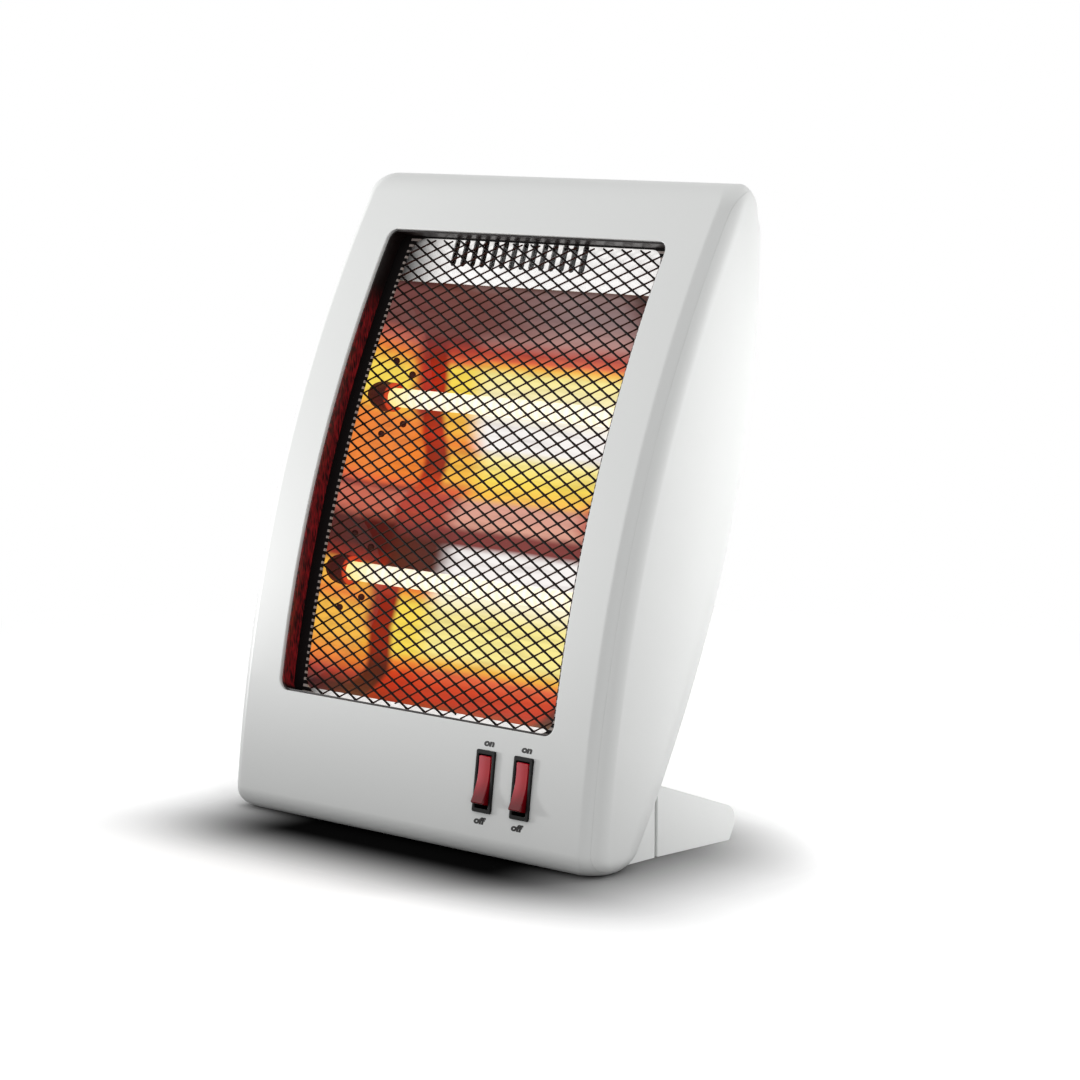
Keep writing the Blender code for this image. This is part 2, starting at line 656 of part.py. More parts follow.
def build_bezel(finish, lean, switches, limit):
    bezel = add("front_bezel", body_mesh("front_bezel", 0.0), finish, smooth=25)
    boolean(bezel, add("bezel_region", front_region("bezel_region", BEZEL_EDGE)), "INTERSECT")
    boolean(bezel, add("bezel_inside", body_mesh("bezel_inside", WALL, "plain")))

    outer = rounded_rectangle(WINDOW_HALF_WIDTH + COLLAR_WALL, WINDOW_HALF_LENGTH + COLLAR_WALL,
                              WINDOW_CORNER + COLLAR_WALL)
    collar = add("window_collar", prism("window_collar", outer, -2 * NEAR, 2 * NEAR, "y"), parent=lean)
    band = front_band("collar_band", WALL / 2, COLLAR_DEPTH,
                      WINDOW_BOTTOM - COLLAR_MARGIN, WINDOW_TOP + COLLAR_MARGIN, WIDTH / 2)
    boolean(collar, add("collar_band", band), "INTERSECT")
    boolean(bezel, collar, "UNION")

    for place, x, z, seam in screw_places():
        boss = rod("bezel_boss_" + place, BOSS_RADIUS, front_y(z) - NEAR, seam, "y", (x, 0, z), 12)
        add_boss(bezel, boss, limit)
    for name, x, z in chassis_screw_places():
        boss = rod("chassis_boss_" + name, BOSS_RADIUS, front_at_lean(z) - NEAR, CHASSIS_FACE - GAP, "y",
                   (x, 0, z), 12)
        add_boss(bezel, boss, limit, lean)

    inner = rounded_rectangle(WINDOW_HALF_WIDTH, WINDOW_HALF_LENGTH, WINDOW_CORNER)
    opening = prism("window_opening", inner, -2 * NEAR, 2 * NEAR, "y")
    boolean(bezel, add("window_opening", opening, parent=lean))
    for side, switch in switches.items():
        hole = rectangle(-SWITCH_BODY_HALF_WIDTH - GAP, SWITCH_BODY_HALF_WIDTH + GAP,
                         -SWITCH_BODY_HALF_LENGTH - GAP, SWITCH_BODY_HALF_LENGTH + GAP)
        cut = prism("switch_hole_" + side, hole, -NEAR, NEAR, "y")
        boolean(bezel, add(cut.name, cut, parent=switch))
    hole_radius = SCREW_RADIUS + GAP
    for place, x, z, seam in screw_places():
        depth = SCREW_LENGTH - SCREW_SEAT_THICKNESS + PILOT_SPARE
        hole = rod("bezel_boss_hole_" + place, hole_radius, seam - depth, seam + GAP, "y", (x, 0, z), 8)
        boolean(bezel, add(hole.name, hole))
    for name, x, z in chassis_screw_places():
        depth = SHORT_SCREW_LENGTH + PILOT_SPARE
        hole = rod("chassis_boss_hole_" + name, hole_radius, CHASSIS_FACE - depth, CHASSIS_FACE, "y",
                   (x, 0, z), 8)
        boolean(bezel, add(hole.name, hole, parent=lean))
    return bezel


# Housing

def gland_pad_face():
    return rear_line(GLAND_HEIGHT, 0.0) + GLAND_PAD_PROUD


def build_housing(finish, limit):
    housing = add("rear_housing", body_mesh("rear_housing", 0.0, "plain"), finish, smooth=25)
    boolean(housing, plinth("plinth", 0.0), "UNION")
    pad_face = gland_pad_face()
    pad = rod("gland_pad", GLAND_PAD_RADIUS, pad_face - 3 * GLAND_PAD_PROUD, pad_face, "y",
              (GLAND_X, 0, GLAND_HEIGHT), HOLE_SEGMENTS)
    boolean(housing, add("gland_pad", pad), "UNION")
    boolean(housing, add("housing_inside", body_mesh("housing_inside", WALL, "coarse")))
    boolean(housing, plinth("plinth_inside", WALL))
    boolean(housing, add("housing_region", front_region("housing_region", BEZEL_EDGE, GAP)))
    for place, x, z, seam in screw_places():
        post = rod("housing_post_" + place, POST_RADIUS, seam + GAP, REAR_Y, "y", (x, 0, z), 12)
        add_boss(housing, post, limit)
    for place, x, z, seam in screw_places():
        seat = seam + GAP + SCREW_SEAT_THICKNESS
        bore = lathe("housing_bore_" + place, [
            (0, seam - GAP), (SCREW_RADIUS + GAP, seam - GAP), (SCREW_RADIUS + GAP, seat),
            (SCREW_HEAD_RADIUS + GAP, seat), (SCREW_HEAD_RADIUS + GAP, REAR_Y + NEAR), (0, REAR_Y + NEAR),
        ], "y", (x, 0, z), 10)
        boolean(housing, add(bore.name, bore))
    add_handle_recess(housing)
    add_rear_vents(housing)
    add_tip_sleeve(housing)
    add_foot_bosses(housing)
    bore = rod("gland_hole", GLAND_NECK_RADIUS + GAP, pad_face - 2 * NEAR, pad_face + NEAR, "y",
               (GLAND_X, 0, GLAND_HEIGHT), HOLE_SEGMENTS)
    boolean(housing, add("gland_hole", bore))
    return housing


def plinth(name, inset):
    outline = rounded_rectangle(
        PLINTH_HALF_WIDTH - inset, (PLINTH_REAR_Y - PLINTH_FRONT_Y) / 2 - inset, PLINTH_CORNER,
        (0, (PLINTH_REAR_Y + PLINTH_FRONT_Y) / 2), 2)
    return add(name, prism(name, outline, inset, PLINTH_HEIGHT - inset, "z"))


def add_handle_recess(housing):
    middle = (HANDLE_TOP + HANDLE_BOTTOM) / 2
    half = (HANDLE_TOP - HANDLE_BOTTOM) / 2
    shell = rounded_rectangle(HANDLE_HALF_WIDTH + WALL, half + WALL, HANDLE_CORNER + WALL, (0, middle))
    block = prism("handle_block", shell, REAR_Y - HANDLE_DEPTH - WALL, REAR_Y - WALL / 2, "y")
    boolean(housing, add("handle_block", block), "UNION")
    hollow = rounded_rectangle(HANDLE_HALF_WIDTH, half, HANDLE_CORNER, (0, middle))
    cut = prism("handle_hollow", hollow, REAR_Y - HANDLE_DEPTH, REAR_Y + NEAR, "y")
    boolean(housing, add("handle_hollow", cut))


def add_rear_vents(housing):
    for row, low in enumerate((REAR_VENT_HIGH, REAR_VENT_LOW)):
        high = low + REAR_VENT_LENGTH
        for index in range(REAR_VENT_COUNT):
            x = (index - (REAR_VENT_COUNT - 1) / 2) * REAR_VENT_PITCH
            slot = rounded_rectangle(REAR_VENT_WIDTH / 2, (high - low) / 2, REAR_VENT_WIDTH / 3,
                                     (x, (high + low) / 2), 1)
            near = rear_line(low, 0.0) - 4 * WALL
            cut = prism("rear_vent_%d_%d" % (row, index), slot, near, REAR_Y + NEAR, "y")
            boolean(housing, add(cut.name, cut))


def add_tip_sleeve(housing):
    bore = PLUNGER_COLLAR_RADIUS + GAP
    sleeve = rod("tip_sleeve", bore + SLEEVE_WALL, WALL / 2, SLEEVE_TOP, "z", (TIP_X, TIP_Y, 0),
                 HOLE_SEGMENTS)
    boolean(housing, add("tip_sleeve", sleeve), "UNION")
    hollow = lathe("tip_bore", [
        (0, -NEAR), (PLUNGER_RADIUS + GAP, -NEAR), (PLUNGER_RADIUS + GAP, WALL),
        (bore, WALL), (bore, SLEEVE_TOP + NEAR), (0, SLEEVE_TOP + NEAR),
    ], "z", (TIP_X, TIP_Y, 0), HOLE_SEGMENTS)
    boolean(housing, add("tip_bore", hollow))


def add_foot_bosses(housing):
    for side, sign in SIDES:
        x = sign * (PLINTH_HALF_WIDTH - FOOT_WIDTH / 2)
        depth = SCREW_LENGTH
        boss = rod("foot_boss_" + side, BOSS_RADIUS, PLINTH_REAR_Y - depth, PLINTH_REAR_Y - WALL / 2,
                   "y", (x, 0, FOOT_SCREW_HEIGHT), 12)
        boolean(housing, add(boss.name, boss), "UNION")
        hole = rod("foot_boss_hole_" + side, SCREW_RADIUS + GAP, PLINTH_REAR_Y - depth + WALL,
                   PLINTH_REAR_Y + NEAR, "y", (x, 0, FOOT_SCREW_HEIGHT), 8)
        boolean(housing, add(hole.name, hole))


# Feet

def foot_outline(inset, base):
    """Side view of a foot: tall at the plinth, sloping to a round heel."""
    front = PLINTH_REAR_Y + GAP + inset
    heel = FOOT_HEEL_RADIUS - inset
    centre_y = FOOT_REAR_Y - FOOT_HEEL_RADIUS
    centre_z = FOOT_LOW - FOOT_HEEL_RADIUS
    points = [(front, base), (centre_y + heel / 2, base), (centre_y + heel, heel)]
    for step in range(FOOT_HEEL_STEPS + 1):
        angle = FOOT_HEEL_TURN * step / FOOT_HEEL_STEPS
        points.append((centre_y + heel * math.cos(angle), centre_z + heel * math.sin(angle)))
    points.append((front, FOOT_HIGH - inset))
    return points


def build_foot(side, sign, finish, clearance, backing):
    name = "rear_foot_" + side
    foot = add(name, foot_mesh(name, sign, 0.0, 0.0), finish, smooth=30)
    boolean(foot, clearance)
    name = "foot_cavity_" + side
    cavity = add(name, foot_mesh(name, sign, FOOT_WALL, -NEAR))
    boolean(cavity, backing)
    boolean(foot, cavity)
    x = sign * (PLINTH_HALF_WIDTH - FOOT_WIDTH / 2)
    hole = rod("foot_screw_hole_" + side, SCREW_RADIUS + GAP, PLINTH_REAR_Y - NEAR,
               PLINTH_REAR_Y + FOOT_WALL * 2, "y", (x, 0, FOOT_SCREW_HEIGHT), 12)
    boolean(foot, add(hole.name, hole))
    way = rod("foot_driver_hole_" + side, DRIVER_HOLE_RADIUS, FOOT_REAR_Y - 4 * FOOT_WALL,
              FOOT_REAR_Y + NEAR, "y", (x, 0, FOOT_SCREW_HEIGHT), 16)
    boolean(foot, add(way.name, way))


def foot_mesh(name, sign, inset, base):
    """Loft of the side view; the outer face flares towards the heel."""
    outline = foot_outline(inset, base)
    inner = PLINTH_HALF_WIDTH - FOOT_WIDTH + inset
    outer = PLINTH_HALF_WIDTH - inset
    span = FOOT_REAR_Y - PLINTH_REAR_Y
    near = [(sign * inner, y, z) for y, z in outline]
    far = [(sign * (outer + FOOT_FLARE * (y - PLINTH_REAR_Y) / span), y, z) for y, z in outline]
    return loft(name, [near, far])


# Guard

def build_guard(finish):
    """One perforated sheet that follows the front curve behind the window collar."""
    half_x = WINDOW_HALF_WIDTH - GUARD_SIDE_BORDER
    low = WINDOW_BOTTOM + GUARD_END_BORDER
    high = WINDOW_TOP - GUARD_END_BORDER
    cell_x = 2 * half_x / GUARD_COLUMNS
    cell_z = (high - low) / GUARD_ROWS
    points = {}
    faces = []

    def vertex(x, z):
        key = (round(x / MM, 4), round(z / MM, 4))
        if key not in points:
            points[key] = (len(points), x, z)
        return points[key][0]

    def pierce(corners):
        """Leave a band along the edges of one cell, with the hole inside it."""
        centre_x = sum(c[0] for c in corners) / len(corners)
        centre_z = sum(c[1] for c in corners) / len(corners)
        reach = min(abs(distance_to_edge(centre_x, centre_z, a, b))
                    for a, b in zip(corners, corners[1:] + corners[:1]))
        keep = 1 - GUARD_STRUT / 2 / reach
        inner = [(centre_x + (x - centre_x) * keep, centre_z + (z - centre_z) * keep) for x, z in corners]
        total = len(corners)
        for i in range(total):
            j = (i + 1) % total
            faces.append((vertex(*corners[i]), vertex(*corners[j]), vertex(*inner[j]), vertex(*inner[i])))

    def corner(column, row):
        return -half_x + column * cell_x, low + row * cell_z

    for column in range(GUARD_COLUMNS):
        for row in range(GUARD_ROWS):
            pierce([corner(column + 0.5, row), corner(column + 1, row + 0.5),
                    corner(column + 0.5, row + 1), corner(column, row + 0.5)])
    for column in range(GUARD_COLUMNS + 1):
        for row in range(GUARD_ROWS + 1):
            arms = []
            if row > 0:
                arms.append(corner(column, row - 0.5))
            if column < GUARD_COLUMNS:
                arms.append(corner(column + 0.5, row))
            if row < GUARD_ROWS:
                arms.append(corner(column, row + 0.5))
            if column > 0:
                arms.append(corner(column - 0.5, row))
            if len(arms) < 4:
                arms = border_cell(arms, corner(column, row))
            pierce(arms)

    rim = guard_rim(corner)
    wide_x = WINDOW_HALF_WIDTH + GUARD_OVERLAP
    wide_low = WINDOW_BOTTOM - GUARD_OVERLAP
    wide_high = WINDOW_TOP + GUARD_OVERLAP
    for (x1, z1), (x2, z2) in zip(rim, rim[1:] + rim[:1]):
        outer = []
        for x, z in ((x2, z2), (x1, z1)):
            at_side = abs(abs(x) - half_x) < MM / 10
            at_end = abs(z - low) < MM / 10 or abs(z - high) < MM / 10
            outer_x = math.copysign(wide_x, x) if at_side else x
            outer_z = (wide_low if z < (low + high) / 2 else wide_high) if at_end else z
            outer.append((outer_x, outer_z))
        faces.append((vertex(x1, z1), vertex(x2, z2), vertex(*outer[0]), vertex(*outer[1])))

    depth = COLLAR_DEPTH + GAP
    placed = [(x, *behind_front(z, depth)) for _, x, z in points.values()]
    sheet = mesh_from("guard_mesh", placed, faces)
    guard = add("guard_mesh", sheet, finish)
    if sheet.polygons[0].normal.y > 0:
        sheet.flip_normals()
    thicken = guard.modifiers.new("thickness", "SOLIDIFY")
    thicken.thickness = GUARD_THICKNESS
    thicken.offset = -1.0
    thicken.use_even_offset = True
    return guard


def build_guard_frame(finish, lean):
    """A sheet ring along the window's return wall, with its rear edge against the guard."""
    outer = rounded_rectangle(WINDOW_HALF_WIDTH - GAP, WINDOW_HALF_LENGTH - GAP, WINDOW_CORNER - GAP)
    ring = add("guard_frame", prism("guard_frame", outer, -2 * NEAR, 2 * NEAR, "y"), finish, lean)
    band = front_band("guard_frame_band", GUARD_FRAME_FRONT, COLLAR_DEPTH,
                      WINDOW_BOTTOM - COLLAR_MARGIN, WINDOW_TOP + COLLAR_MARGIN, WIDTH / 2)
    boolean(ring, add("guard_frame_band", band), "INTERSECT")
    inset = GAP + GUARD_FRAME_THICKNESS
    inner = rounded_rectangle(WINDOW_HALF_WIDTH - inset, WINDOW_HALF_LENGTH - inset, WINDOW_CORNER - inset)
    opening = prism("guard_frame_opening", inner, -2 * NEAR, 2 * NEAR, "y")
    boolean(ring, add("guard_frame_opening", opening, parent=lean))


def distance_to_edge(x, z, start, end):
    run_x = end[0] - start[0]
    run_z = end[1] - start[1]
    return (run_x * (z - start[1]) - run_z * (x - start[0])) / math.hypot(run_x, run_z)


def border_cell(arms, own):
    """Half or quarter cell on the rim, with its own corner where the rim turns."""
    if len(arms) == 2:
        arms = [arms[0], own, arms[1]]
        if distance_to_edge(*arms[2], arms[0], arms[1]) < 0:
            arms.reverse()
    return arms


def guard_rim(corner):
    """Rim points of the lattice, anticlockwise seen from the front."""
    columns = [i / 2 for i in range(2 * GUARD_COLUMNS + 1)]
    rows = [i / 2 for i in range(2 * GUARD_ROWS + 1)]
    keep_column = [c for c in columns if c % 1 == 0.5 or c in (0, GUARD_COLUMNS)]
    keep_row = [r for r in rows if r % 1 == 0.5]
    rim = [corner(c, 0) for c in keep_column]
    rim += [corner(GUARD_COLUMNS, r) for r in keep_row]
    rim += [corner(c, GUARD_ROWS) for c in reversed(keep_column)]
    rim += [corner(0, r) for r in reversed(keep_row)]
    return rim


# Chassis, reflector and end plates

def chassis_screw_places():
    places = []
    heights = (("top", CHASSIS_TOP - CHASSIS_SCREW_DROP), ("low", CHASSIS_BOTTOM + CHASSIS_SCREW_RISE))
    for level, z in heights:
        for side, sign in SIDES:
            places.append((level + "_" + side, sign * CHASSIS_SCREW_X, z))
    return places


def build_chassis(finish, lean):
    outline = rectangle(-CHASSIS_HALF_WIDTH, CHASSIS_HALF_WIDTH, CHASSIS_BOTTOM, CHASSIS_TOP)
    sheet = prism("chassis_plate", outline, CHASSIS_FACE, CHASSIS_BACK, "y")
    plate = add("chassis_plate", sheet, finish, lean)
    opening = rectangle(-CHASSIS_OPENING_HALF, CHASSIS_OPENING_HALF,
                        CHASSIS_OPENING_BOTTOM, CHASSIS_OPENING_TOP)
    cut = prism("chassis_opening", opening, 0, 2 * CHASSIS_BACK, "y")
    boolean(plate, add("chassis_opening", cut, parent=lean))
    for index in range(VENT_COUNT):
        x = VENT_CENTRE_X + (index - (VENT_COUNT - 1) / 2) * VENT_PITCH
        slot = rounded_rectangle(VENT_WIDTH / 2, (VENT_TOP - VENT_BOTTOM) / 2, VENT_WIDTH / 3,
                                 (x, (VENT_TOP + VENT_BOTTOM) / 2), 1)
        cut = prism("chassis_vent_%d" % index, slot, 0, 2 * CHASSIS_BACK, "y")
        boolean(plate, add(cut.name, cut, parent=lean))
    for name, x, z in chassis_screw_places():
        cut = rod("chassis_hole_" + name, SCREW_RADIUS + GAP, 0, 2 * CHASSIS_BACK, "y", (x, 0, z), 8)
        boolean(plate, add(cut.name, cut, parent=lean))
    return plate


def trough(start, end, depth_start, depth_end, depth):
    """Points (z, y) of one rolled trough between two edges."""
    points = []
    for step in range(TROUGH_SEGMENTS + 1):
        share = step / TROUGH_SEGMENTS
        bow = (4 * share * (1 - share)) ** 0.8
        points.append((start + (end - start) * share,
                       depth_start + (depth_end - depth_start) * share + depth * bow))
    return points


def reflector_line():
    """The reflector's front side from the top flange to the bottom flange, as (z, y)."""
    face = REFLECTOR_FACE
    ridge = face + RIDGE_SETBACK
    line = [(CHASSIS_OPENING_TOP + REFLECTOR_FLANGE, face)]
    line += trough(CHASSIS_OPENING_TOP, RIDGE_TOP, face, ridge, TROUGH_DEPTH)
    line += trough(RIDGE_BOTTOM, CHASSIS_OPENING_BOTTOM, ridge, face, TROUGH_DEPTH)
    line.append((CHASSIS_OPENING_BOTTOM - REFLECTOR_FLANGE, face))
    return line


def offset_line(line, distance):
    """The line moved square to itself, away from the front."""
    moved = []
    for index, (z, y) in enumerate(line):
        before = line[max(index - 1, 0)]
        after = line[min(index + 1, len(line) - 1)]
        run_z = after[0] - before[0]
        run_y = after[1] - before[1]
        size = math.hypot(run_z, run_y)
        moved.append((z + distance * run_y / size, y - distance * run_z / size))
    return moved


def reflector_half_length(y):
    return CHASSIS_OPENING_HALF - GAP - END_SLANT * (y - REFLECTOR_FACE)


def build_reflector(finish, lean):
    front = reflector_line()
    back = offset_line(front, REFLECTOR_THICKNESS)
    section = front + list(reversed(back))
    rings = [[(sign * reflector_half_length(y), y, z) for z, y in section] for sign in (-1, 1)]
    return add("reflector", loft("reflector", rings), finish, lean, smooth=40)


def build_end_plate(side, sign, finish, lean):
    """A bent sheet across the trough ends, pierced for the ceramic caps."""
    slope = math.hypot(1, END_SLANT)
    skin = REFLECTOR_THICKNESS * slope
    start = CHASSIS_OPENING_HALF - GAP + GAP * slope
    deep = REFLECTOR_FACE + TROUGH_DEPTH + RIDGE_SETBACK + END_MARGIN * 2
    run = END_SLANT * (deep - REFLECTOR_FACE)
    bend = [
        (start, REFLECTOR_FACE), (start + END_FLANGE, REFLECTOR_FACE),
        (start + END_FLANGE, REFLECTOR_FACE + REFLECTOR_THICKNESS),
        (start + skin - END_SLANT * REFLECTOR_THICKNESS, REFLECTOR_FACE + REFLECTOR_THICKNESS),
        (start + skin - run, deep), (start - run, deep),
    ]
    outline = [(sign * x, y) for x, y in bend]
    name = "end_plate_" + side
    top = CHASSIS_OPENING_TOP + REFLECTOR_FLANGE
    bottom = CHASSIS_OPENING_BOTTOM - REFLECTOR_FLANGE
    plate = add(name, prism(name, outline, bottom, top, "z"), finish, lean)
    line = [(z, y + END_MARGIN) for z, y in reflector_line()]
    mask = [(0.0, top + END_MARGIN), *((y, z) for z, y in line), (0.0, bottom - END_MARGIN)]
    shape = prism("end_shape_" + side, mask, -FAR, FAR)
    boolean(plate, add(shape.name, shape, parent=lean), "INTERSECT")
    for level, z in LEVELS:
        hole = rod("end_hole_%s_%s" % (level, side), CAP_RADIUS + GAP, sign * CAP_INNER_X / 2,
                   sign * CAP_OUTER_X * 1.2, "x", (0, TUBE_Y, z), HOLE_SEGMENTS)
        boolean(plate, add(hole.name, hole, parent=lean))
    return plate


# Quartz tubes, heating coils, caps and terminals

def build_tube(level, z, glass, wire, lean):
    inner = TUBE_RADIUS - TUBE_WALL
    tube = lathe("quartz_tube_" + level, [
        (TUBE_RADIUS, -TUBE_HALF_LENGTH), (TUBE_RADIUS, TUBE_HALF_LENGTH),
        (inner, TUBE_HALF_LENGTH), (inner, -TUBE_HALF_LENGTH),
    ], "x", (0, TUBE_Y, z), 16)
    add(tube.name, tube, glass, lean, smooth=60)
    path = coil_path(z)
    add("heating_coil_" + level, swept_wire("heating_coil_" + level, path, COIL_WIRE_RADIUS), wire, lean)
    print("least gap of the coil to itself, mm:", round(least_gap(path) / MM, 2))


def coil_path(z):
    """Helix along x, with straight tails that reach the terminals."""
    centre = Vector((0, TUBE_Y, z))
    tail = terminal_inner_x() - GAP
    total = COIL_LOOPS * COIL_POINTS_PER_LOOP
    path = [centre + Vector((-tail, 0, 0)), centre + Vector((-COIL_HALF_LENGTH - COIL_RADIUS, 0, 0))]
    for step in range(total + 1):
        angle = 2 * math.pi * step / COIL_POINTS_PER_LOOP
        x = -COIL_HALF_LENGTH + 2 * COIL_HALF_LENGTH * step / total
        path.append(centre + Vector((x, COIL_RADIUS * math.cos(angle), COIL_RADIUS * math.sin(angle))))
    path += [centre + Vector((COIL_HALF_LENGTH + COIL_RADIUS, 0, 0)), centre + Vector((tail, 0, 0))]
    return path


def least_gap(path):
    """Smallest clear distance between stretches at least half a loop apart."""
    apart = COIL_POINTS_PER_LOOP // 2
    best = min((path[i] - path[j]).length
               for i in range(len(path)) for j in range(i + apart, min(i + 4 * apart, len(path))))
    return best - 2 * COIL_WIRE_RADIUS


def terminal_inner_x():
    return TUBE_HALF_LENGTH - TERMINAL_ENTRY


def build_cap(level, side, sign, z, ceramic, steel, lean):
    neck = TERMINAL_RADIUS + GAP
    seat = TUBE_HALF_LENGTH + GAP
    bore = TUBE_RADIUS + GAP
    profile = [
        (bore, CAP_INNER_X), (CAP_RADIUS, CAP_INNER_X), (CAP_RADIUS, CAP_SHOULDER_X),
        (CAP_NECK_RADIUS, CAP_SHOULDER_X), (CAP_NECK_RADIUS, CAP_OUTER_X), (neck, CAP_OUTER_X),
        (neck, seat), (bore, seat),
    ]
    name = "%s_%s" % (level, side)
    cap = lathe("ceramic_cap_" + name, [(r, sign * x) for r, x in profile], "x", (0, TUBE_Y, z), 16)
    add(cap.name, cap, ceramic, lean, smooth=40)
    nut = CAP_OUTER_X + GAP
    stud = [
        (0, terminal_inner_x()), (TERMINAL_RADIUS, terminal_inner_x()), (TERMINAL_RADIUS, nut),
        (TERMINAL_NUT_RADIUS, nut), (TERMINAL_NUT_RADIUS, nut + TERMINAL_NUT_LENGTH),
        (TERMINAL_RADIUS, nut + TERMINAL_NUT_LENGTH), (TERMINAL_RADIUS, TERMINAL_TIP_X), (0, TERMINAL_TIP_X),
    ]
    mesh = lathe("tube_terminal_" + name, [(r, sign * x) for r, x in stud], "x", (0, TUBE_Y, z), 8)
    add(mesh.name, mesh, steel, lean, smooth=40)


# Switches

def build_switch(side, switch, black, red, brass):
    face = -GAP - SWITCH_FLANGE_THICKNESS
    flange = rounded_rectangle(SWITCH_FLANGE_HALF_WIDTH, SWITCH_FLANGE_HALF_LENGTH,
                               SWITCH_FLANGE_CORNER, steps=3)
    rim = prism("switch_body_" + side, flange, face, -GAP, "y")
    body = add(rim.name, rim, black, switch, 30)
    core = rectangle(-SWITCH_BODY_HALF_WIDTH, SWITCH_BODY_HALF_WIDTH,
                     -SWITCH_BODY_HALF_LENGTH, SWITCH_BODY_HALF_LENGTH)
    block = prism("switch_block_" + side, core, -GAP - SWITCH_FLANGE_THICKNESS / 2, SWITCH_BODY_DEPTH, "y")
    boolean(body, add(block.name, block, parent=switch), "UNION")
    pocket = rectangle(-POCKET_HALF_WIDTH, POCKET_HALF_WIDTH, -POCKET_HALF_LENGTH, POCKET_HALF_LENGTH)
    cut = prism("switch_pocket_" + side, pocket, -NEAR, POCKET_DEPTH, "y")
    boolean(body, add(cut.name, cut, parent=switch))
    bearing = rod("switch_bearing_" + side, TRUNNION_RADIUS + GAP, -NEAR, NEAR, "x",
                  (0, ROCKER_PIVOT_DEPTH, 0), 16)
    boolean(body, add(bearing.name, bearing, parent=switch))
    for level, sign in (("upper", 1), ("lower", -1)):
        z = sign * TAB_OFFSET
        inner = SWITCH_BODY_DEPTH - TAB_SLOT_DEPTH
        slot = rectangle(-TAB_HALF_WIDTH - GAP, TAB_HALF_WIDTH + GAP,
                         z - TAB_THICKNESS / 2 - GAP, z + TAB_THICKNESS / 2 + GAP)
        cut = prism("switch_slot_%s_%s" % (level, side), slot, inner - GAP, SWITCH_BODY_DEPTH + NEAR, "y")
        boolean(body, add(cut.name, cut, parent=switch))
        blade = rectangle(-TAB_HALF_WIDTH, TAB_HALF_WIDTH, z - TAB_THICKNESS / 2, z + TAB_THICKNESS / 2)
        name = "switch_tab_%s_%s" % (side, level)
        add(name, prism(name, blade, inner, inner + TAB_LENGTH, "y"), brass, switch)

    pivot = frame("rocker_pivot_" + side, (0, ROCKER_PIVOT_DEPTH, 0), ROCKER_TILT, parent=switch)
    build_rocker(side, pivot, red)


def build_rocker(side, pivot, finish):
    """Rocker about its own pivot: two flat halves, level when it is half way."""
    crest = ROCKER_CREST - ROCKER_PIVOT_DEPTH
    rise = ROCKER_HALF_LENGTH * math.tan(ROCKER_TILT)
    end = ROCKER_END_DEPTH - ROCKER_PIVOT_DEPTH
    keel = ROCKER_KEEL_DEPTH - ROCKER_PIVOT_DEPTH
    outline = [
        (crest, 0), (crest - rise, ROCKER_HALF_LENGTH), (end, ROCKER_HALF_LENGTH),
        (keel, ROCKER_HALF_LENGTH / 4), (keel, -ROCKER_HALF_LENGTH / 4),
        (end, -ROCKER_HALF_LENGTH), (crest - rise, -ROCKER_HALF_LENGTH),
    ]
    half = POCKET_HALF_WIDTH - GAP
    rocker = add("rocker_" + side, prism("rocker_" + side, outline, -half, half), finish, pivot)
    axle = rod("rocker_axle_" + side, TRUNNION_RADIUS, -TRUNNION_HALF_LENGTH, TRUNNION_HALF_LENGTH, "x",
               segments=16)
    boolean(rocker, add(axle.name, axle, parent=pivot), "UNION")


# Tip-over switch

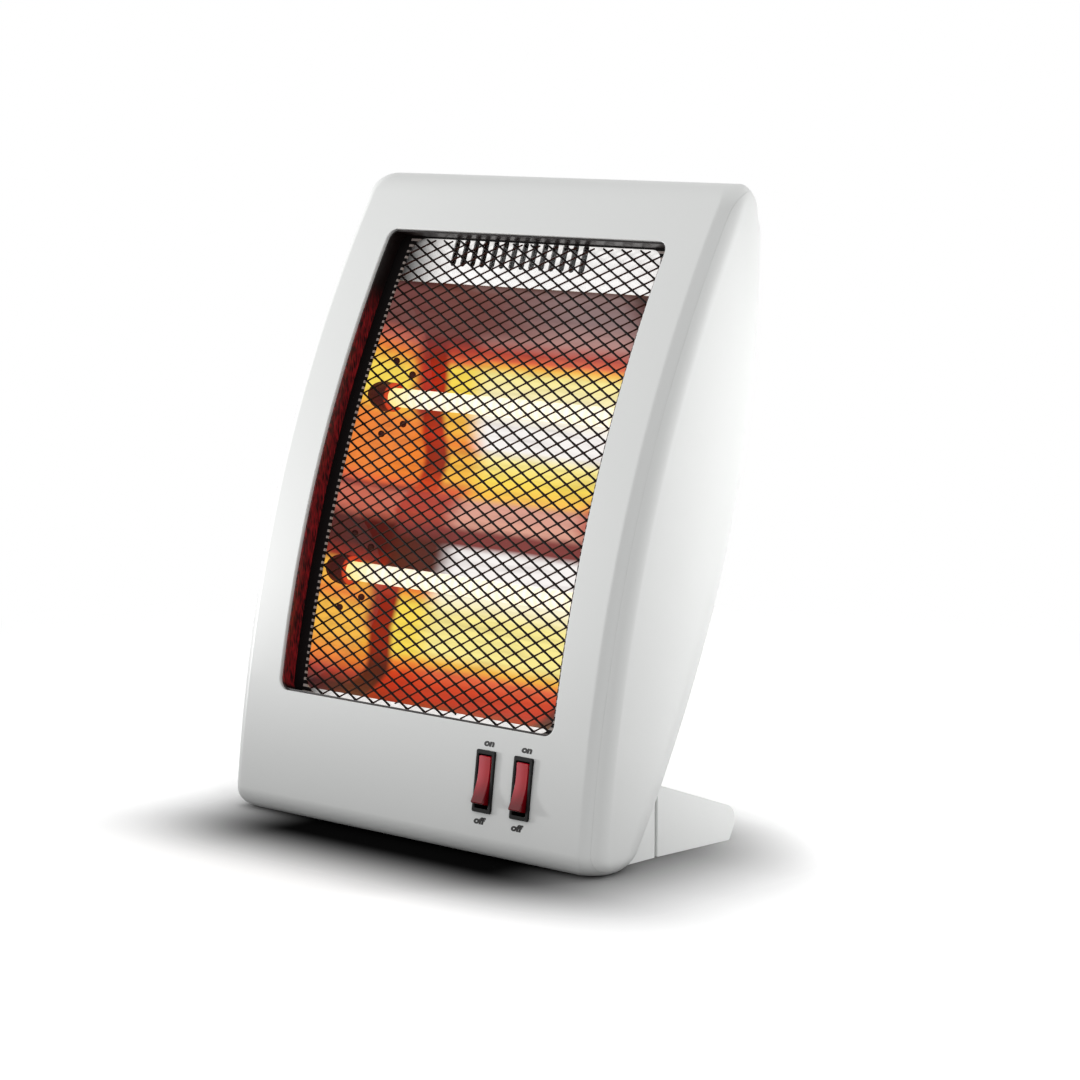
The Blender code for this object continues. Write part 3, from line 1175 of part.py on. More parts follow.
def build_tip_switch(black, grey, steel, brass):
    centre = (TIP_X, TIP_Y, 0)
    plunger = lathe("tip_over_plunger", [
        (0, 0), (PLUNGER_RADIUS - PLUNGER_CHAMFER, 0), (PLUNGER_RADIUS, PLUNGER_CHAMFER),
        (PLUNGER_RADIUS, PLUNGER_COLLAR_BOTTOM), (PLUNGER_COLLAR_RADIUS, PLUNGER_COLLAR_BOTTOM),
        (PLUNGER_COLLAR_RADIUS, PLUNGER_COLLAR_TOP), (PLUNGER_STEM_RADIUS, PLUNGER_COLLAR_TOP),
        (PLUNGER_STEM_RADIUS, PLUNGER_STEM_TOP), (0, PLUNGER_STEM_TOP),
    ], "z", centre)
    add("tip_over_plunger", plunger, grey, smooth=40)

    radius = (PLUNGER_STEM_RADIUS + PLUNGER_COLLAR_RADIUS) / 2
    low = PLUNGER_COLLAR_TOP + GAP + TIP_SPRING_WIRE
    high = SLEEVE_TOP - TIP_SPRING_WIRE
    steps = TIP_SPRING_LOOPS * COIL_POINTS_PER_LOOP
    path = []
    for step in range(steps + 1):
        angle = 2 * math.pi * step / COIL_POINTS_PER_LOOP
        path.append(Vector((TIP_X + radius * math.cos(angle), TIP_Y + radius * math.sin(angle),
                            low + (high - low) * step / steps)))
    add("tip_over_spring", swept_wire("tip_over_spring", path, TIP_SPRING_WIRE), steel)

    bottom = SLEEVE_TOP + GAP
    top = bottom + TIP_SWITCH_HEIGHT
    outline = rounded_rectangle(TIP_SWITCH_LENGTH / 2, TIP_SWITCH_WIDTH / 2, TIP_SWITCH_CORNER,
                                (TIP_X, TIP_Y), 2)
    body = add("tip_over_switch", prism("tip_over_switch", outline, bottom, top, "z"), black)
    well = rod("tip_switch_well", PLUNGER_STEM_RADIUS + GAP, bottom - GAP,
               PLUNGER_STEM_TOP + TIP_WELL_SPARE, "z", centre, 16)
    boolean(body, add("tip_switch_well", well))
    for side, sign in SIDES:
        x = TIP_X + sign * TIP_TAB_OFFSET
        slot = rectangle(x - TAB_THICKNESS / 2 - GAP, x + TAB_THICKNESS / 2 + GAP,
                         TIP_Y - TAB_HALF_WIDTH - GAP, TIP_Y + TAB_HALF_WIDTH + GAP)
        cut = prism("tip_slot_" + side, slot, top - TAB_SLOT_DEPTH - GAP, top + NEAR, "z")
        boolean(body, add(cut.name, cut))
        blade = rectangle(x - TAB_THICKNESS / 2, x + TAB_THICKNESS / 2,
                          TIP_Y - TAB_HALF_WIDTH, TIP_Y + TAB_HALF_WIDTH)
        name = "tip_switch_tab_" + side
        add(name, prism(name, blade, top - TAB_SLOT_DEPTH, top - TAB_SLOT_DEPTH + TAB_LENGTH, "z"), brass)


# Terminal block, gland and screws

def build_terminal_block(finish):
    bottom = WALL + GAP
    outline = rounded_rectangle(BLOCK_LENGTH / 2, BLOCK_WIDTH / 2, BLOCK_CORNER, (0, BLOCK_Y), 2)
    brick = prism("terminal_block", outline, bottom, bottom + BLOCK_HEIGHT, "z")
    block = add("terminal_block", brick, finish)
    pitch = BLOCK_LENGTH / BLOCK_POLES
    for pole in range(BLOCK_POLES):
        x = (pole - (BLOCK_POLES - 1) / 2) * pitch
        way = rod("block_way_%d" % pole, BLOCK_WIRE_RADIUS, BLOCK_Y - BLOCK_WIDTH, BLOCK_Y + BLOCK_WIDTH,
                  "y", (x, 0, bottom + BLOCK_HEIGHT / 2), 12)
        boolean(block, add(way.name, way))


def build_gland(finish):
    seat = gland_pad_face() + GAP
    inner = seat - GLAND_LENGTH
    tip = seat + GLAND_FLANGE_THICKNESS
    profile = [
        (GLAND_BORE_RADIUS, inner), (GLAND_NECK_RADIUS, inner), (GLAND_NECK_RADIUS, seat),
        (GLAND_FLANGE_RADIUS, seat), (GLAND_FLANGE_RADIUS, tip), (GLAND_BORE_RADIUS, tip),
    ]
    gland = lathe("cord_gland", profile, "y", (GLAND_X, 0, GLAND_HEIGHT))
    add("cord_gland", gland, finish, smooth=40)


def build_screw(name, length, finish, location, spin, parent=None):
    """Pan-head screw along its own z, with the head's underside at the origin."""
    crown = SCREW_HEAD_HEIGHT
    mesh = lathe(name, [
        (0, crown), (SCREW_HEAD_RADIUS * 0.6, crown * 0.85), (SCREW_HEAD_RADIUS, crown * 0.35),
        (SCREW_HEAD_RADIUS, 0), (SCREW_RADIUS, 0), (SCREW_RADIUS, -length + SCREW_RADIUS), (0, -length),
    ], "z", segments=8)
    place = frame(name + "_place", location, spin=spin, parent=parent)
    add(name, mesh, finish, place, smooth=35)


def build_screws(finish, lean):
    towards_rear = Matrix.Rotation(-math.pi / 2, 4, "X")
    for place, x, z, seam in screw_places():
        seat = seam + GAP + SCREW_SEAT_THICKNESS + GAP
        build_screw("housing_screw_" + place, SCREW_LENGTH, finish, (x, seat, z), towards_rear)
    for name, x, z in chassis_screw_places():
        build_screw("chassis_screw_" + name, SHORT_SCREW_LENGTH, finish,
                    (x, CHASSIS_BACK + GAP, z), towards_rear, lean)
    for side, sign in SIDES:
        x = sign * (PLINTH_HALF_WIDTH - FOOT_WIDTH / 2)
        seat = PLINTH_REAR_Y + GAP + FOOT_WALL + GAP
        build_screw("foot_screw_" + side, SCREW_LENGTH, finish, (x, seat, FOOT_SCREW_HEIGHT), towards_rear)


# The whole heater

def build():
    clear_scene()
    white = material("white_plastic", (0.80, 0.81, 0.80), 0.32)
    sheet = material("white_enamel", (0.82, 0.82, 0.80), 0.35)
    bright = material("bright_aluminium", (0.80, 0.78, 0.75), 0.18, 1.0)
    wire = material("black_wire", (0.02, 0.02, 0.02), 0.45, 0.6)
    glass = material("quartz_glass", (0.95, 0.80, 0.55), 0.2)
    glowing = material("heating_wire", (0.9, 0.35, 0.1), 0.5, 0.5)
    brown = material("brown_ceramic", (0.24, 0.17, 0.15), 0.7)
    ceramic = material("white_ceramic", (0.78, 0.75, 0.70), 0.6)
    steel = material("zinc_steel", (0.6, 0.6, 0.6), 0.35, 1.0)
    black = material("black_plastic", (0.02, 0.02, 0.02), 0.35)
    red = material("red_plastic", (0.65, 0.02, 0.02), 0.15)
    grey = material("grey_plastic", (0.35, 0.35, 0.35), 0.4)
    brass = material("brass", (0.75, 0.55, 0.22), 0.3, 1.0)

    lean = frame("lean_frame", WINDOW_MIDDLE, WINDOW_LEAN)
    switches = switch_frames()
    limit = build_boss_limit()
    build_bezel(white, lean, switches, limit)
    build_housing(white, limit)
    clearance = add("foot_clearance", body_mesh("foot_clearance", -GAP, "plain"))
    backing = add("foot_backing", body_mesh("foot_backing", -GAP - FOOT_WALL, "coarse"))
    for side, sign in SIDES:
        build_foot(side, sign, white, clearance, backing)
    build_guard(wire)
    build_guard_frame(wire, lean)
    build_chassis(sheet, lean)
    build_reflector(bright, lean)
    for side, sign in SIDES:
        build_end_plate(side, sign, bright, lean)
    for level, z in LEVELS:
        build_tube(level, z, glass, glowing, lean)
        for side, sign in SIDES:
            build_cap(level, side, sign, z, brown, steel, lean)
    for side, switch in switches.items():
        build_switch(side, switch, black, red, brass)
    build_tip_switch(black, grey, steel, brass)
    build_terminal_block(ceramic)
    build_gland(black)
    build_screws(steel, lean)


build()
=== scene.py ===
"""Looks of the two-tube room heater: smooth shells, lattice guard, glow and finishes.

Metres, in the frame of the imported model: the front faces -Y and the origin is on
the floor. The shells repeat the construction's curves with finer facets.
"""

import math
from bisect import bisect

import bmesh
import bpy
from mathutils import Matrix, Vector


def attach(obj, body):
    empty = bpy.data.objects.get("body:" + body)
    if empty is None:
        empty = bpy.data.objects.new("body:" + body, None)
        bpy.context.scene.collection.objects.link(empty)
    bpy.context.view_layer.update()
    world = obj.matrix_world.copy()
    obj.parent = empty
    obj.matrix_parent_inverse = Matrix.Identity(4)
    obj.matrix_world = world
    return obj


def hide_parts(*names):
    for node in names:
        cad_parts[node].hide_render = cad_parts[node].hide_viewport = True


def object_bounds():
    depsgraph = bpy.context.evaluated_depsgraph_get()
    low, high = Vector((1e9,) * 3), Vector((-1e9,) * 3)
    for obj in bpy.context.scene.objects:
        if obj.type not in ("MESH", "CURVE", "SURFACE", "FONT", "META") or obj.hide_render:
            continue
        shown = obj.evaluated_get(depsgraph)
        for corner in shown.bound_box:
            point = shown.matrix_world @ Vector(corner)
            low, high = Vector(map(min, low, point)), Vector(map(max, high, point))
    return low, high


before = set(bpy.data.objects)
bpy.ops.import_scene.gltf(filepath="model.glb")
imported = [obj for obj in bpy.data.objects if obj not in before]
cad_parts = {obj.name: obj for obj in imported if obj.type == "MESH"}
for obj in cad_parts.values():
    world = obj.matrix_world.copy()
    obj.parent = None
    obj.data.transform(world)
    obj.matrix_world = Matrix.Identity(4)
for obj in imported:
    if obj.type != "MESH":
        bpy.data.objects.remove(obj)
CAD_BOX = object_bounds()

MM = 0.001
GAP = 0.3 * MM
HEATER = "heater"

# Body, as in the construction
WIDTH = CAD_BOX[1][0] - CAD_BOX[0][0]
HEIGHT = CAD_BOX[1][2] - CAD_BOX[0][2]
FRONT_Y = -73 * MM
REAR_Y = 77 * MM
WALL = 2.4 * MM
SETBACK_LINEAR = 27.5 * MM
SETBACK_SQUARE = 64.3 * MM
SETBACK_CUBIC = 18.6 * MM
NOSE_RADIUS = 12 * MM
TOP_FRONT_RADIUS = 21 * MM
SIDE_RADIUS = 13 * MM
CREASE_ANGLE = math.radians(14)
TOP_SIDE_RADIUS = 10 * MM
BOTTOM_SIDE_RADIUS = 8 * MM
REAR_CORNER_WIDTH = 46 * MM
REAR_CORNER_DEPTH = 35 * MM
SECTION_FILL = 0.96                 # share of a level section's depth that its corners may fill
REAR_SWEEP = 97 * MM
REAR_STRAIGHT_HEIGHT = 300 * MM
REAR_TOP_RADIUS = 27 * MM
REAR_BOTTOM_RADIUS = 5 * MM
BEZEL_EDGE = 3.2 * MM
SEAM = 0.08 * MM                    # slit that shows between bezel and housing

# Window, its lip and the guard
WINDOW_HALF_WIDTH = 96 * MM
WINDOW_BOTTOM = 66 * MM
WINDOW_TOP = 302 * MM
WINDOW_CORNER = 6 * MM
COLLAR_DEPTH = 9.7 * MM
COLLAR_WALL = 2 * MM
LIP_RADIUS = 0.6 * MM
LINER_FRONT = 1.6 * MM
LINER_THICKNESS = 0.8 * MM
GUARD_OVERLAP = 5 * MM
GUARD_SIDE_BORDER = 9 * MM
GUARD_END_BORDER = 1.6 * MM
GUARD_CORNER = 9 * MM
STRAND_TUCK = 1.5 * MM              # reach of the strands under the border
GUARD_THICKNESS = 1.2 * MM
STRAND_THICKNESS = GUARD_THICKNESS / 2.6
STRAND_SECTION = ((1, -0.4), (0.5, -1), (-0.5, -1), (-1, -0.4), (-1, 0.6), (1, 0.6))
DIAMOND_WIDTH = 12.35 * MM
DIAMOND_HEIGHT = 6.75 * MM
STRONG_STRAND = 0.46 * MM           # half width of the strands that fall to the right
FINE_STRAND = 0.32 * MM             # half width of the strands that rise to the right
STRONG_FORWARD = 0.2 * MM           # from the middle of the guard's thickness
FINE_BACKWARD = 0.15 * MM
KNOT_SWELL = 1.35                   # strands are wider where they cross

# Chassis, reflector and tubes, in the leaning frame
CHASSIS_HALF_WIDTH = 114 * MM
CHASSIS_TOP = 130 * MM
CHASSIS_BOTTOM = -127 * MM
CHASSIS_OPENING_HALF = 101 * MM
CHASSIS_OPENING_TOP = 100.5 * MM
CHASSIS_OPENING_BOTTOM = -121 * MM
CHASSIS_THICKNESS = 0.9 * MM
CHASSIS_SCREWS = ((109.5 * MM, 88 * MM), (109.5 * MM, -88 * MM))
VENT_COUNT = 14
VENT_PITCH = 6.9 * MM
VENT_WIDTH = 3.8 * MM
VENT_BOTTOM = 110 * MM
VENT_TOP = 125 * MM
VENT_CENTRE_X = -12 * MM
REFLECTOR_THICKNESS = 0.8 * MM
TROUGH_DEPTH = 26 * MM
TROUGH_SEGMENTS = 56
TROUGH_FULLNESS = 0.8               # under 1 is fuller than a parabola
RIDGE_SETBACK = 4.5 * MM
RIDGE_TOP = -10 * MM
RIDGE_BOTTOM = -21 * MM
REFLECTOR_FLANGE = 5.5 * MM
END_SLANT = 0.76
END_MARGIN = 2 * MM
END_FLANGE = 5 * MM
RIVETS = ((20 * MM, 11 * MM), (15 * MM, 19 * MM), (-12 * MM, 20 * MM), (-20 * MM, 12 * MM))
RIVET_PROFILE = ((0, 1.0 * MM), (1.1 * MM, 0.8 * MM), (1.8 * MM, 0.3 * MM), (1.9 * MM, -0.2 * MM),
                 (0, -0.2 * MM))
TUBE_DEPTH = 11.5 * MM
TUBE_UPPER_Z = 39.5 * MM
TUBE_LOWER_Z = -55.5 * MM
TUBE_RADIUS = 5 * MM
TUBE_WALL = 1 * MM
TUBE_ROUND = 0.4 * MM
TUBE_HALF_LENGTH = 94 * MM
CAP_RADIUS = 7.75 * MM
CAP_NECK_RADIUS = 5.5 * MM
CAP_INNER_X = 86.5 * MM
CAP_SHOULDER_X = 101 * MM
CAP_OUTER_X = 106 * MM
CAP_ROUND = 0.8 * MM
COIL_RADIUS = 2.8 * MM
COIL_WIRE_RADIUS = 0.35 * MM
COIL_HALF_LENGTH = 78 * MM
COIL_LOOPS = 64
COIL_STEPS = 12                     # points per loop
COIL_TAIL_SETBACK = 3.3 * MM

# Switches, in their own frames
SWITCH_FIRST_X = 55 * MM
SWITCH_PITCH = 25 * MM
SWITCH_PLACES = (("left", SWITCH_FIRST_X), ("right", SWITCH_FIRST_X + SWITCH_PITCH))
SWITCH_HEIGHT = 39 * MM
FLANGE_HALF_WIDTH = 6.1 * MM
FLANGE_HALF_LENGTH = 15.5 * MM
FLANGE_THICKNESS = 1.1 * MM
FLANGE_CORNER = 0.8 * MM
SWITCH_EDGE = 0.3 * MM              # rounding of the frame and the pocket's mouth
SWITCH_BODY_HALF_WIDTH = 5.6 * MM
SWITCH_BODY_HALF_LENGTH = 14.4 * MM
SWITCH_BODY_DEPTH = 17 * MM
POCKET_HALF_WIDTH = 4.5 * MM
POCKET_HALF_LENGTH = 13.4 * MM
POCKET_DEPTH = 9 * MM
POCKET_CORNER = 0.5 * MM
ROCKER_HALF_LENGTH = 12 * MM
ROCKER_SLIM = 0.4 * MM
ROCKER_TILT = math.radians(9)
ROCKER_PIVOT_DEPTH = 3 * MM
ROCKER_CREST = -1.9 * MM
ROCKER_END_DEPTH = 1.5 * MM
ROCKER_KEEL_DEPTH = 7 * MM
ROCKER_EDGE = 0.5 * MM
ROCKER_DISH = 0.35 * MM
# Points that round a rocker's tip: back from it, and down from it
ROCKER_TIP = ((0.15 * MM, 0.6 * MM), (0.55 * MM, 0.15 * MM), (1.2 * MM, 0))
TRUNNION_RADIUS = 1.5 * MM
TRUNNION_HALF_LENGTH = 5.3 * MM
WORDS = (("on", 57.8 * MM, 0.4 * MM), ("off", 19.3 * MM, -2.2 * MM))    # word, height, shift
LETTER_SIZE = 4.5 * MM
LETTER_RELIEF = 0.06 * MM
LETTER_SWELL = 0.28 * MM            # makes the letters bolder
LETTER_STRETCH = 1.4
LETTER_SLANT = 0.2

# Plinth, feet and rear
PLINTH_HALF_WIDTH = 115.5 * MM
PLINTH_FRONT_Y = -46 * MM
PLINTH_REAR_Y = -10 * MM
PLINTH_HEIGHT = 40 * MM
PLINTH_CORNER = 3 * MM
FOOT_WIDTH = 38 * MM
FOOT_X = PLINTH_HALF_WIDTH - FOOT_WIDTH / 2
FOOT_REAR_Y = 46.5 * MM
FOOT_HIGH = 36.5 * MM
FOOT_LOW = 19 * MM
FOOT_FLARE = 3.5 * MM
FOOT_HEEL_RADIUS = 8 * MM
FOOT_HEEL_TURN = math.radians(75)
FOOT_WALL = 2.2 * MM
FOOT_SCREW_HEIGHT = 11 * MM
DRIVER_HOLE_RADIUS = 4 * MM
SCREW_RADIUS = 1.5 * MM
SCREW_HOLE = SCREW_RADIUS + GAP
SCREW_HEAD_RADIUS = 3 * MM
SCREW_HEAD_HEIGHT = 2 * MM
SCREW_LENGTH = 14 * MM
SCREW_CROSS = (1.7 * MM, 0.4 * MM)  # half length and half width of its arms
# Outline of the head, in shares of its radius and height
SCREW_DOME = ((0, 1), (0.35, 0.97), (0.7, 0.82), (0.93, 0.55), (1, 0.25), (1, 0))
SCREW_SEAT_THICKNESS = 5 * MM
HOUSING_SCREWS = ((96 * MM, 312 * MM), (30 * MM, 20 * MM))
BEZEL_BOSS_LENGTH = 19 * MM
BOSS_RADIUS = 4.5 * MM
POST_RADIUS = 5.7 * MM
HANDLE_HALF_WIDTH = 55 * MM
HANDLE_BOTTOM = 262 * MM
HANDLE_TOP = 290 * MM
HANDLE_DEPTH = 22 * MM
HANDLE_CORNER = 8 * MM
HANDLE_LIP = 2.5 * MM
REAR_VENT_COUNT = 10
REAR_VENT_PITCH = 13 * MM
REAR_VENT_WIDTH = 4 * MM
REAR_VENT_ROWS = ((212 * MM, 244 * MM), (86 * MM, 118 * MM))
GLAND_X = 40 * MM
GLAND_HEIGHT = 46 * MM
GLAND_PAD_RADIUS = 11 * MM
GLAND_PAD_PROUD = 8 * MM
GLAND_NECK_RADIUS = 5.5 * MM
GLAND_FLANGE_RADIUS = 8 * MM
GLAND_FLANGE_THICKNESS = 2 * MM
GLAND_BORE_RADIUS = 3.6 * MM
GLAND_LENGTH = 10 * MM
GLAND_EDGE = 0.6 * MM
TIP_X = -66 * MM
TIP_Y = -42 * MM
TIP_HOLE_RADIUS = 4.8 * MM
TIP_SLEEVE_RADIUS = 8.3 * MM
TIP_BORE_RADIUS = 6.5 * MM
TIP_SLEEVE_TOP = 20 * MM

FAR = 200 * MM
NEAR = 20 * MM
ROUND = 40                          # facets around turned pieces
SIDES = (("left", -1), ("right", 1))
LEVELS = (("upper", TUBE_UPPER_Z), ("lower", TUBE_LOWER_Z))

# Camera, from the photograph's perspective, and studio
CAMERA_PLACE = Vector((1.1767, -1.2683, 0.3950))
CAMERA_AZIMUTH = math.radians(42.16)
CAMERA_ELEVATION = math.radians(8.18)
CAMERA_LENS = 113.43
CAMERA_SENSOR = 36.0
WORLD_LOW = 0.62                    # strength at the horizon and overhead
WORLD_HIGH = 0.78
FLOOR_HALF = 6.0
FLOOR_Z = -0.2 * MM
# Edges of the floor's painted soft shadow: axis, place without shadow, place with all of it
SHADOW_EDGES = (("Y", -0.18, -0.087), ("Y", 0.15, 0.0), ("X", -0.19, -0.065), ("X", 0.27, 0.07))


# Meshes

AXES = {
    "x": lambda a, b, along: (along, a, b),
    "y": lambda a, b, along: (a, along, b),
    "z": lambda a, b, along: (a, b, along),
}


def mesh_from(points, faces):
    mesh = bpy.data.meshes.new("mesh")
    mesh.from_pydata([tuple(p) for p in points], [], faces)
    work = bmesh.new()
    work.from_mesh(mesh)
    bmesh.ops.recalc_face_normals(work, faces=work.faces)
    work.to_mesh(mesh)
    work.free()
    return mesh


def loft(rings, closed=False):
    """Skin rings of equal count; the ends are capped unless the loft closes on itself."""
    count = len(rings[0])
    points = [point for ring in rings for point in ring]
    faces = []
    for row in range(len(rings) if closed else len(rings) - 1):
        above = (row + 1) % len(rings)
        for column in range(count):
            beside = (column + 1) % count
            faces.append((row * count + column, row * count + beside,
                          above * count + beside, above * count + column))
    if not closed:
        faces.append(tuple(range(count)))
        faces.append(tuple((len(rings) - 1) * count + i for i in range(count)))
    return mesh_from(points, faces)


def prism(outline, start, end, along="x"):
    """Extrude a 2-D outline. Along x it is (y, z), along y (x, z), along z (x, y)."""
    return loft([[AXES[along](a, b, c) for a, b in outline] for c in (start, end)])


def quarter_steps(count, start=0.0):
    """Angles from a start to a right angle, both included."""
    return [start + (math.pi / 2 - start) * step / count for step in range(count + 1)]


def rounded_rectangle(half_a, half_b, radius, centre=(0, 0), steps=8):
    points = []
    for turn, (sign_a, sign_b) in enumerate(((1, 1), (-1, 1), (-1, -1), (1, -1))):
        for step in range(steps + 1):
            angle = math.pi / 2 * (turn + step / steps)
            points.append((centre[0] + sign_a * (half_a - radius) + radius * math.cos(angle),
                           centre[1] + sign_b * (half_b - radius) + radius * math.sin(angle)))
    return points


def rectangle(low_a, high_a, low_b, high_b):
    return [(low_a, low_b), (high_a, low_b), (high_a, high_b), (low_a, high_b)]


def centred(half_a, half_b):
    return rectangle(-half_a, half_a, -half_b, half_b)


def lathe(profile, along="z", centre=(0, 0, 0), segments=ROUND):
    """Turn a closed profile of (radius, height); radius 0 lies on the axis."""
    points = []
    rings = []
    for radius, height in profile:
        first = len(points)
        total = segments if radius > 0 else 1
        for i in range(total):
            angle = math.tau * i / segments
            spot = AXES[along](radius * math.cos(angle), radius * math.sin(angle), height)
            points.append(Vector(spot) + Vector(centre))
        rings.append([first + (i if total > 1 else 0) for i in range(segments)])
    faces = []
    for ring, following in zip(rings, rings[1:] + rings[:1]):
        for i in range(segments):
            j = (i + 1) % segments
            corners = tuple(dict.fromkeys((ring[i], ring[j], following[j], following[i])))
            if len(corners) > 2:
                faces.append(corners)
    return mesh_from(points, faces)


def rod(radius, start, end, along="z", centre=(0, 0, 0), segments=ROUND):
    return lathe([(0, start), (radius, start), (radius, end), (0, end)], along, centre, segments)


def swept(path, radius, sides=6):
    """A round wire along a list of points."""
    rings = []
    side = None
    for index, point in enumerate(path):
        heading = (path[min(index + 1, len(path) - 1)] - path[max(index - 1, 0)]).normalized()
        if side is None:
            side = heading.orthogonal().normalized()
        side = (side - heading * side.dot(heading)).normalized()
        up = heading.cross(side)
        angles = [math.tau * i / sides for i in range(sides)]
        rings.append([point + radius * (math.cos(angle) * side + math.sin(angle) * up) for angle in angles])
    return loft(rings)


def moved(mesh, matrix):
    mesh.transform(matrix)
    return mesh


def joined(meshes):
    """One mesh of several that don't touch."""
    work = bmesh.new()
    for mesh in meshes:
        work.from_mesh(mesh)
    whole = bpy.data.meshes.new("joined")
    work.to_mesh(whole)
    work.free()
    return whole


def placed(name, data):
    """Link a new object with this mesh, curve, lamp or camera."""
    item = bpy.data.objects.new(name, data)
    bpy.context.scene.collection.objects.link(item)
    return item


def applied(item):
    """Mesh of an object after its modifiers; the object goes."""
    bpy.context.view_layer.update()
    mesh = bpy.data.meshes.new_from_object(item.evaluated_get(bpy.context.evaluated_depsgraph_get()))
    bpy.data.objects.remove(item, do_unlink=True)
    return mesh


def combine(mesh, steps):
    """Run Boolean steps on a mesh."""
    target = placed("target", mesh)
    tools = []
    for operation, tool_mesh in steps:
        tools.append(placed("tool", tool_mesh))
        step = target.modifiers.new(operation, "BOOLEAN")
        step.operation = operation
        step.solver = "EXACT"
        step.object = tools[-1]
    result = applied(target)
    result.materials.clear()
    for tool in tools:
        bpy.data.objects.remove(tool, do_unlink=True)
    return result


def settled(mesh, smooth):
    """Smooth a mesh up to an angle, with normals led by its large faces."""
    mesh.shade_smooth()
    mesh.set_sharp_from_angle(angle=math.radians(smooth))
    holder = placed("holder", mesh)
    holder.modifiers.new("weighting", "WEIGHTED_NORMAL").keep_sharp = True
    return applied(holder)


def show(name, mesh, finish, replaces=(), body=HEATER, smooth=35):
    """Link a finished mesh as a visible piece that rides on a body."""
    mesh = settled(mesh, smooth)
    mesh.name = name
    mesh.materials.clear()
    mesh.materials.append(finish)
    piece = placed(name, mesh)
    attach(piece, body)
    if replaces:
        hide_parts(*replaces)


# Front curve and level sections of the body

def front_y(z):
    def setback(t):
        return SETBACK_LINEAR * t + SETBACK_SQUARE * t ** 2 + SETBACK_CUBIC * t ** 3
    return FRONT_Y + setback(z / HEIGHT) - setback(NOSE_RADIUS / HEIGHT)


def front_angle(z):
    t = z / HEIGHT
    return math.atan((SETBACK_LINEAR + 2 * SETBACK_SQUARE * t + 3 * SETBACK_CUBIC * t ** 2) / HEIGHT)


def top_arc():
    """Centre (y, z) of the arc over the front top edge, its starting angle and height."""
    start = HEIGHT - TOP_FRONT_RADIUS / 2
    for _ in range(30):
        start = HEIGHT - TOP_FRONT_RADIUS * (1 - math.sin(front_angle(start)))
    angle = front_angle(start)
    return front_y(start) + TOP_FRONT_RADIUS * math.cos(angle), HEIGHT - TOP_FRONT_RADIUS, angle, start


ARC_Y, ARC_Z, ARC_ANGLE, ARC_START = top_arc()
NOSE_Y = front_y(NOSE_RADIUS) + NOSE_RADIUS


def behind_front(z, depth):
    angle = front_angle(z)
    return front_y(z) + depth * math.cos(angle), z - depth * math.sin(angle)


def even_steps(low, high, count):
    return [low + (high - low) * i / count for i in range(count + 1)]


def arc_reach(radius, inset, rise):
    """Reach of an arc, made smaller by an inset, at a rise from its centre."""
    return math.sqrt(max((radius - inset) ** 2 - rise ** 2, 0.0))


def front_line(z, inset):
    if z < NOSE_RADIUS:
        return front_y(z) + NOSE_RADIUS - arc_reach(NOSE_RADIUS, inset, NOSE_RADIUS - z)
    if z < ARC_Z + (TOP_FRONT_RADIUS - inset) * math.sin(ARC_ANGLE):
        return front_y(z) + inset / math.cos(front_angle(z))
    return ARC_Y - arc_reach(TOP_FRONT_RADIUS, inset, z - ARC_Z)


def rear_line(z, inset):
    top_centre = HEIGHT - REAR_TOP_RADIUS
    if z > top_centre:
        return REAR_Y - REAR_TOP_RADIUS + arc_reach(REAR_TOP_RADIUS, inset, z - top_centre)
    share = max(1 - z / REAR_STRAIGHT_HEIGHT, 0.0)
    slope = math.atan(2 * REAR_SWEEP / REAR_STRAIGHT_HEIGHT * share)
    sweep = REAR_SWEEP * share ** 2
    if z < REAR_BOTTOM_RADIUS:
        reach = arc_reach(REAR_BOTTOM_RADIUS, inset, REAR_BOTTOM_RADIUS - z)
        return REAR_Y - sweep - REAR_BOTTOM_RADIUS + reach
    return REAR_Y - sweep - inset / math.cos(slope)


def half_width(z, inset):
    top_centre = HEIGHT - TOP_SIDE_RADIUS
    if z > top_centre:
        return WIDTH / 2 - TOP_SIDE_RADIUS + arc_reach(TOP_SIDE_RADIUS, inset, z - top_centre)
    if z < BOTTOM_SIDE_RADIUS:
        reach = arc_reach(BOTTOM_SIDE_RADIUS, inset, BOTTOM_SIDE_RADIUS - z)
        return WIDTH / 2 - BOTTOM_SIDE_RADIUS + reach
    return WIDTH / 2 - inset


def body_outline(z, inset, side_steps, corner_steps):
    """Level section of the body: flat front, swelling side, elliptical rear corner."""
    front = front_line(z, inset)
    rear = rear_line(z, inset)
    half = half_width(z, inset)
    side = SIDE_RADIUS - inset
    depth = REAR_CORNER_DEPTH - inset
    width = REAR_CORNER_WIDTH - inset
    squeeze = min(1.0, SECTION_FILL * (rear - front) / (side * math.cos(CREASE_ANGLE) + depth))
    right = [(half - side * (1 - math.sin(angle)),
              front + squeeze * side * (math.cos(CREASE_ANGLE) - math.cos(angle)))
             for angle in quarter_steps(side_steps, CREASE_ANGLE)]
    right += [(half - width * (1 - math.cos(angle)), rear - squeeze * depth * (1 - math.sin(angle)))
              for angle in quarter_steps(corner_steps)]
    left = [(-x, y) for x, y in reversed(right)]
    return [(x, y, z) for x, y in right + left]


def body_mesh(inset, nose_steps=10, rows=56, top_steps=16, side_steps=10, corner_steps=18):
    top_centre = HEIGHT - REAR_TOP_RADIUS
    heights = [NOSE_RADIUS - (NOSE_RADIUS - inset) * math.cos(a) for a in quarter_steps(nose_steps)[:-1]]
    heights += even_steps(NOSE_RADIUS, top_centre, rows)
    heights += [top_centre + (REAR_TOP_RADIUS - inset) * math.sin(a) for a in quarter_steps(top_steps)[1:]]
    return loft([body_outline(z, inset, side_steps, corner_steps) for z in heights])


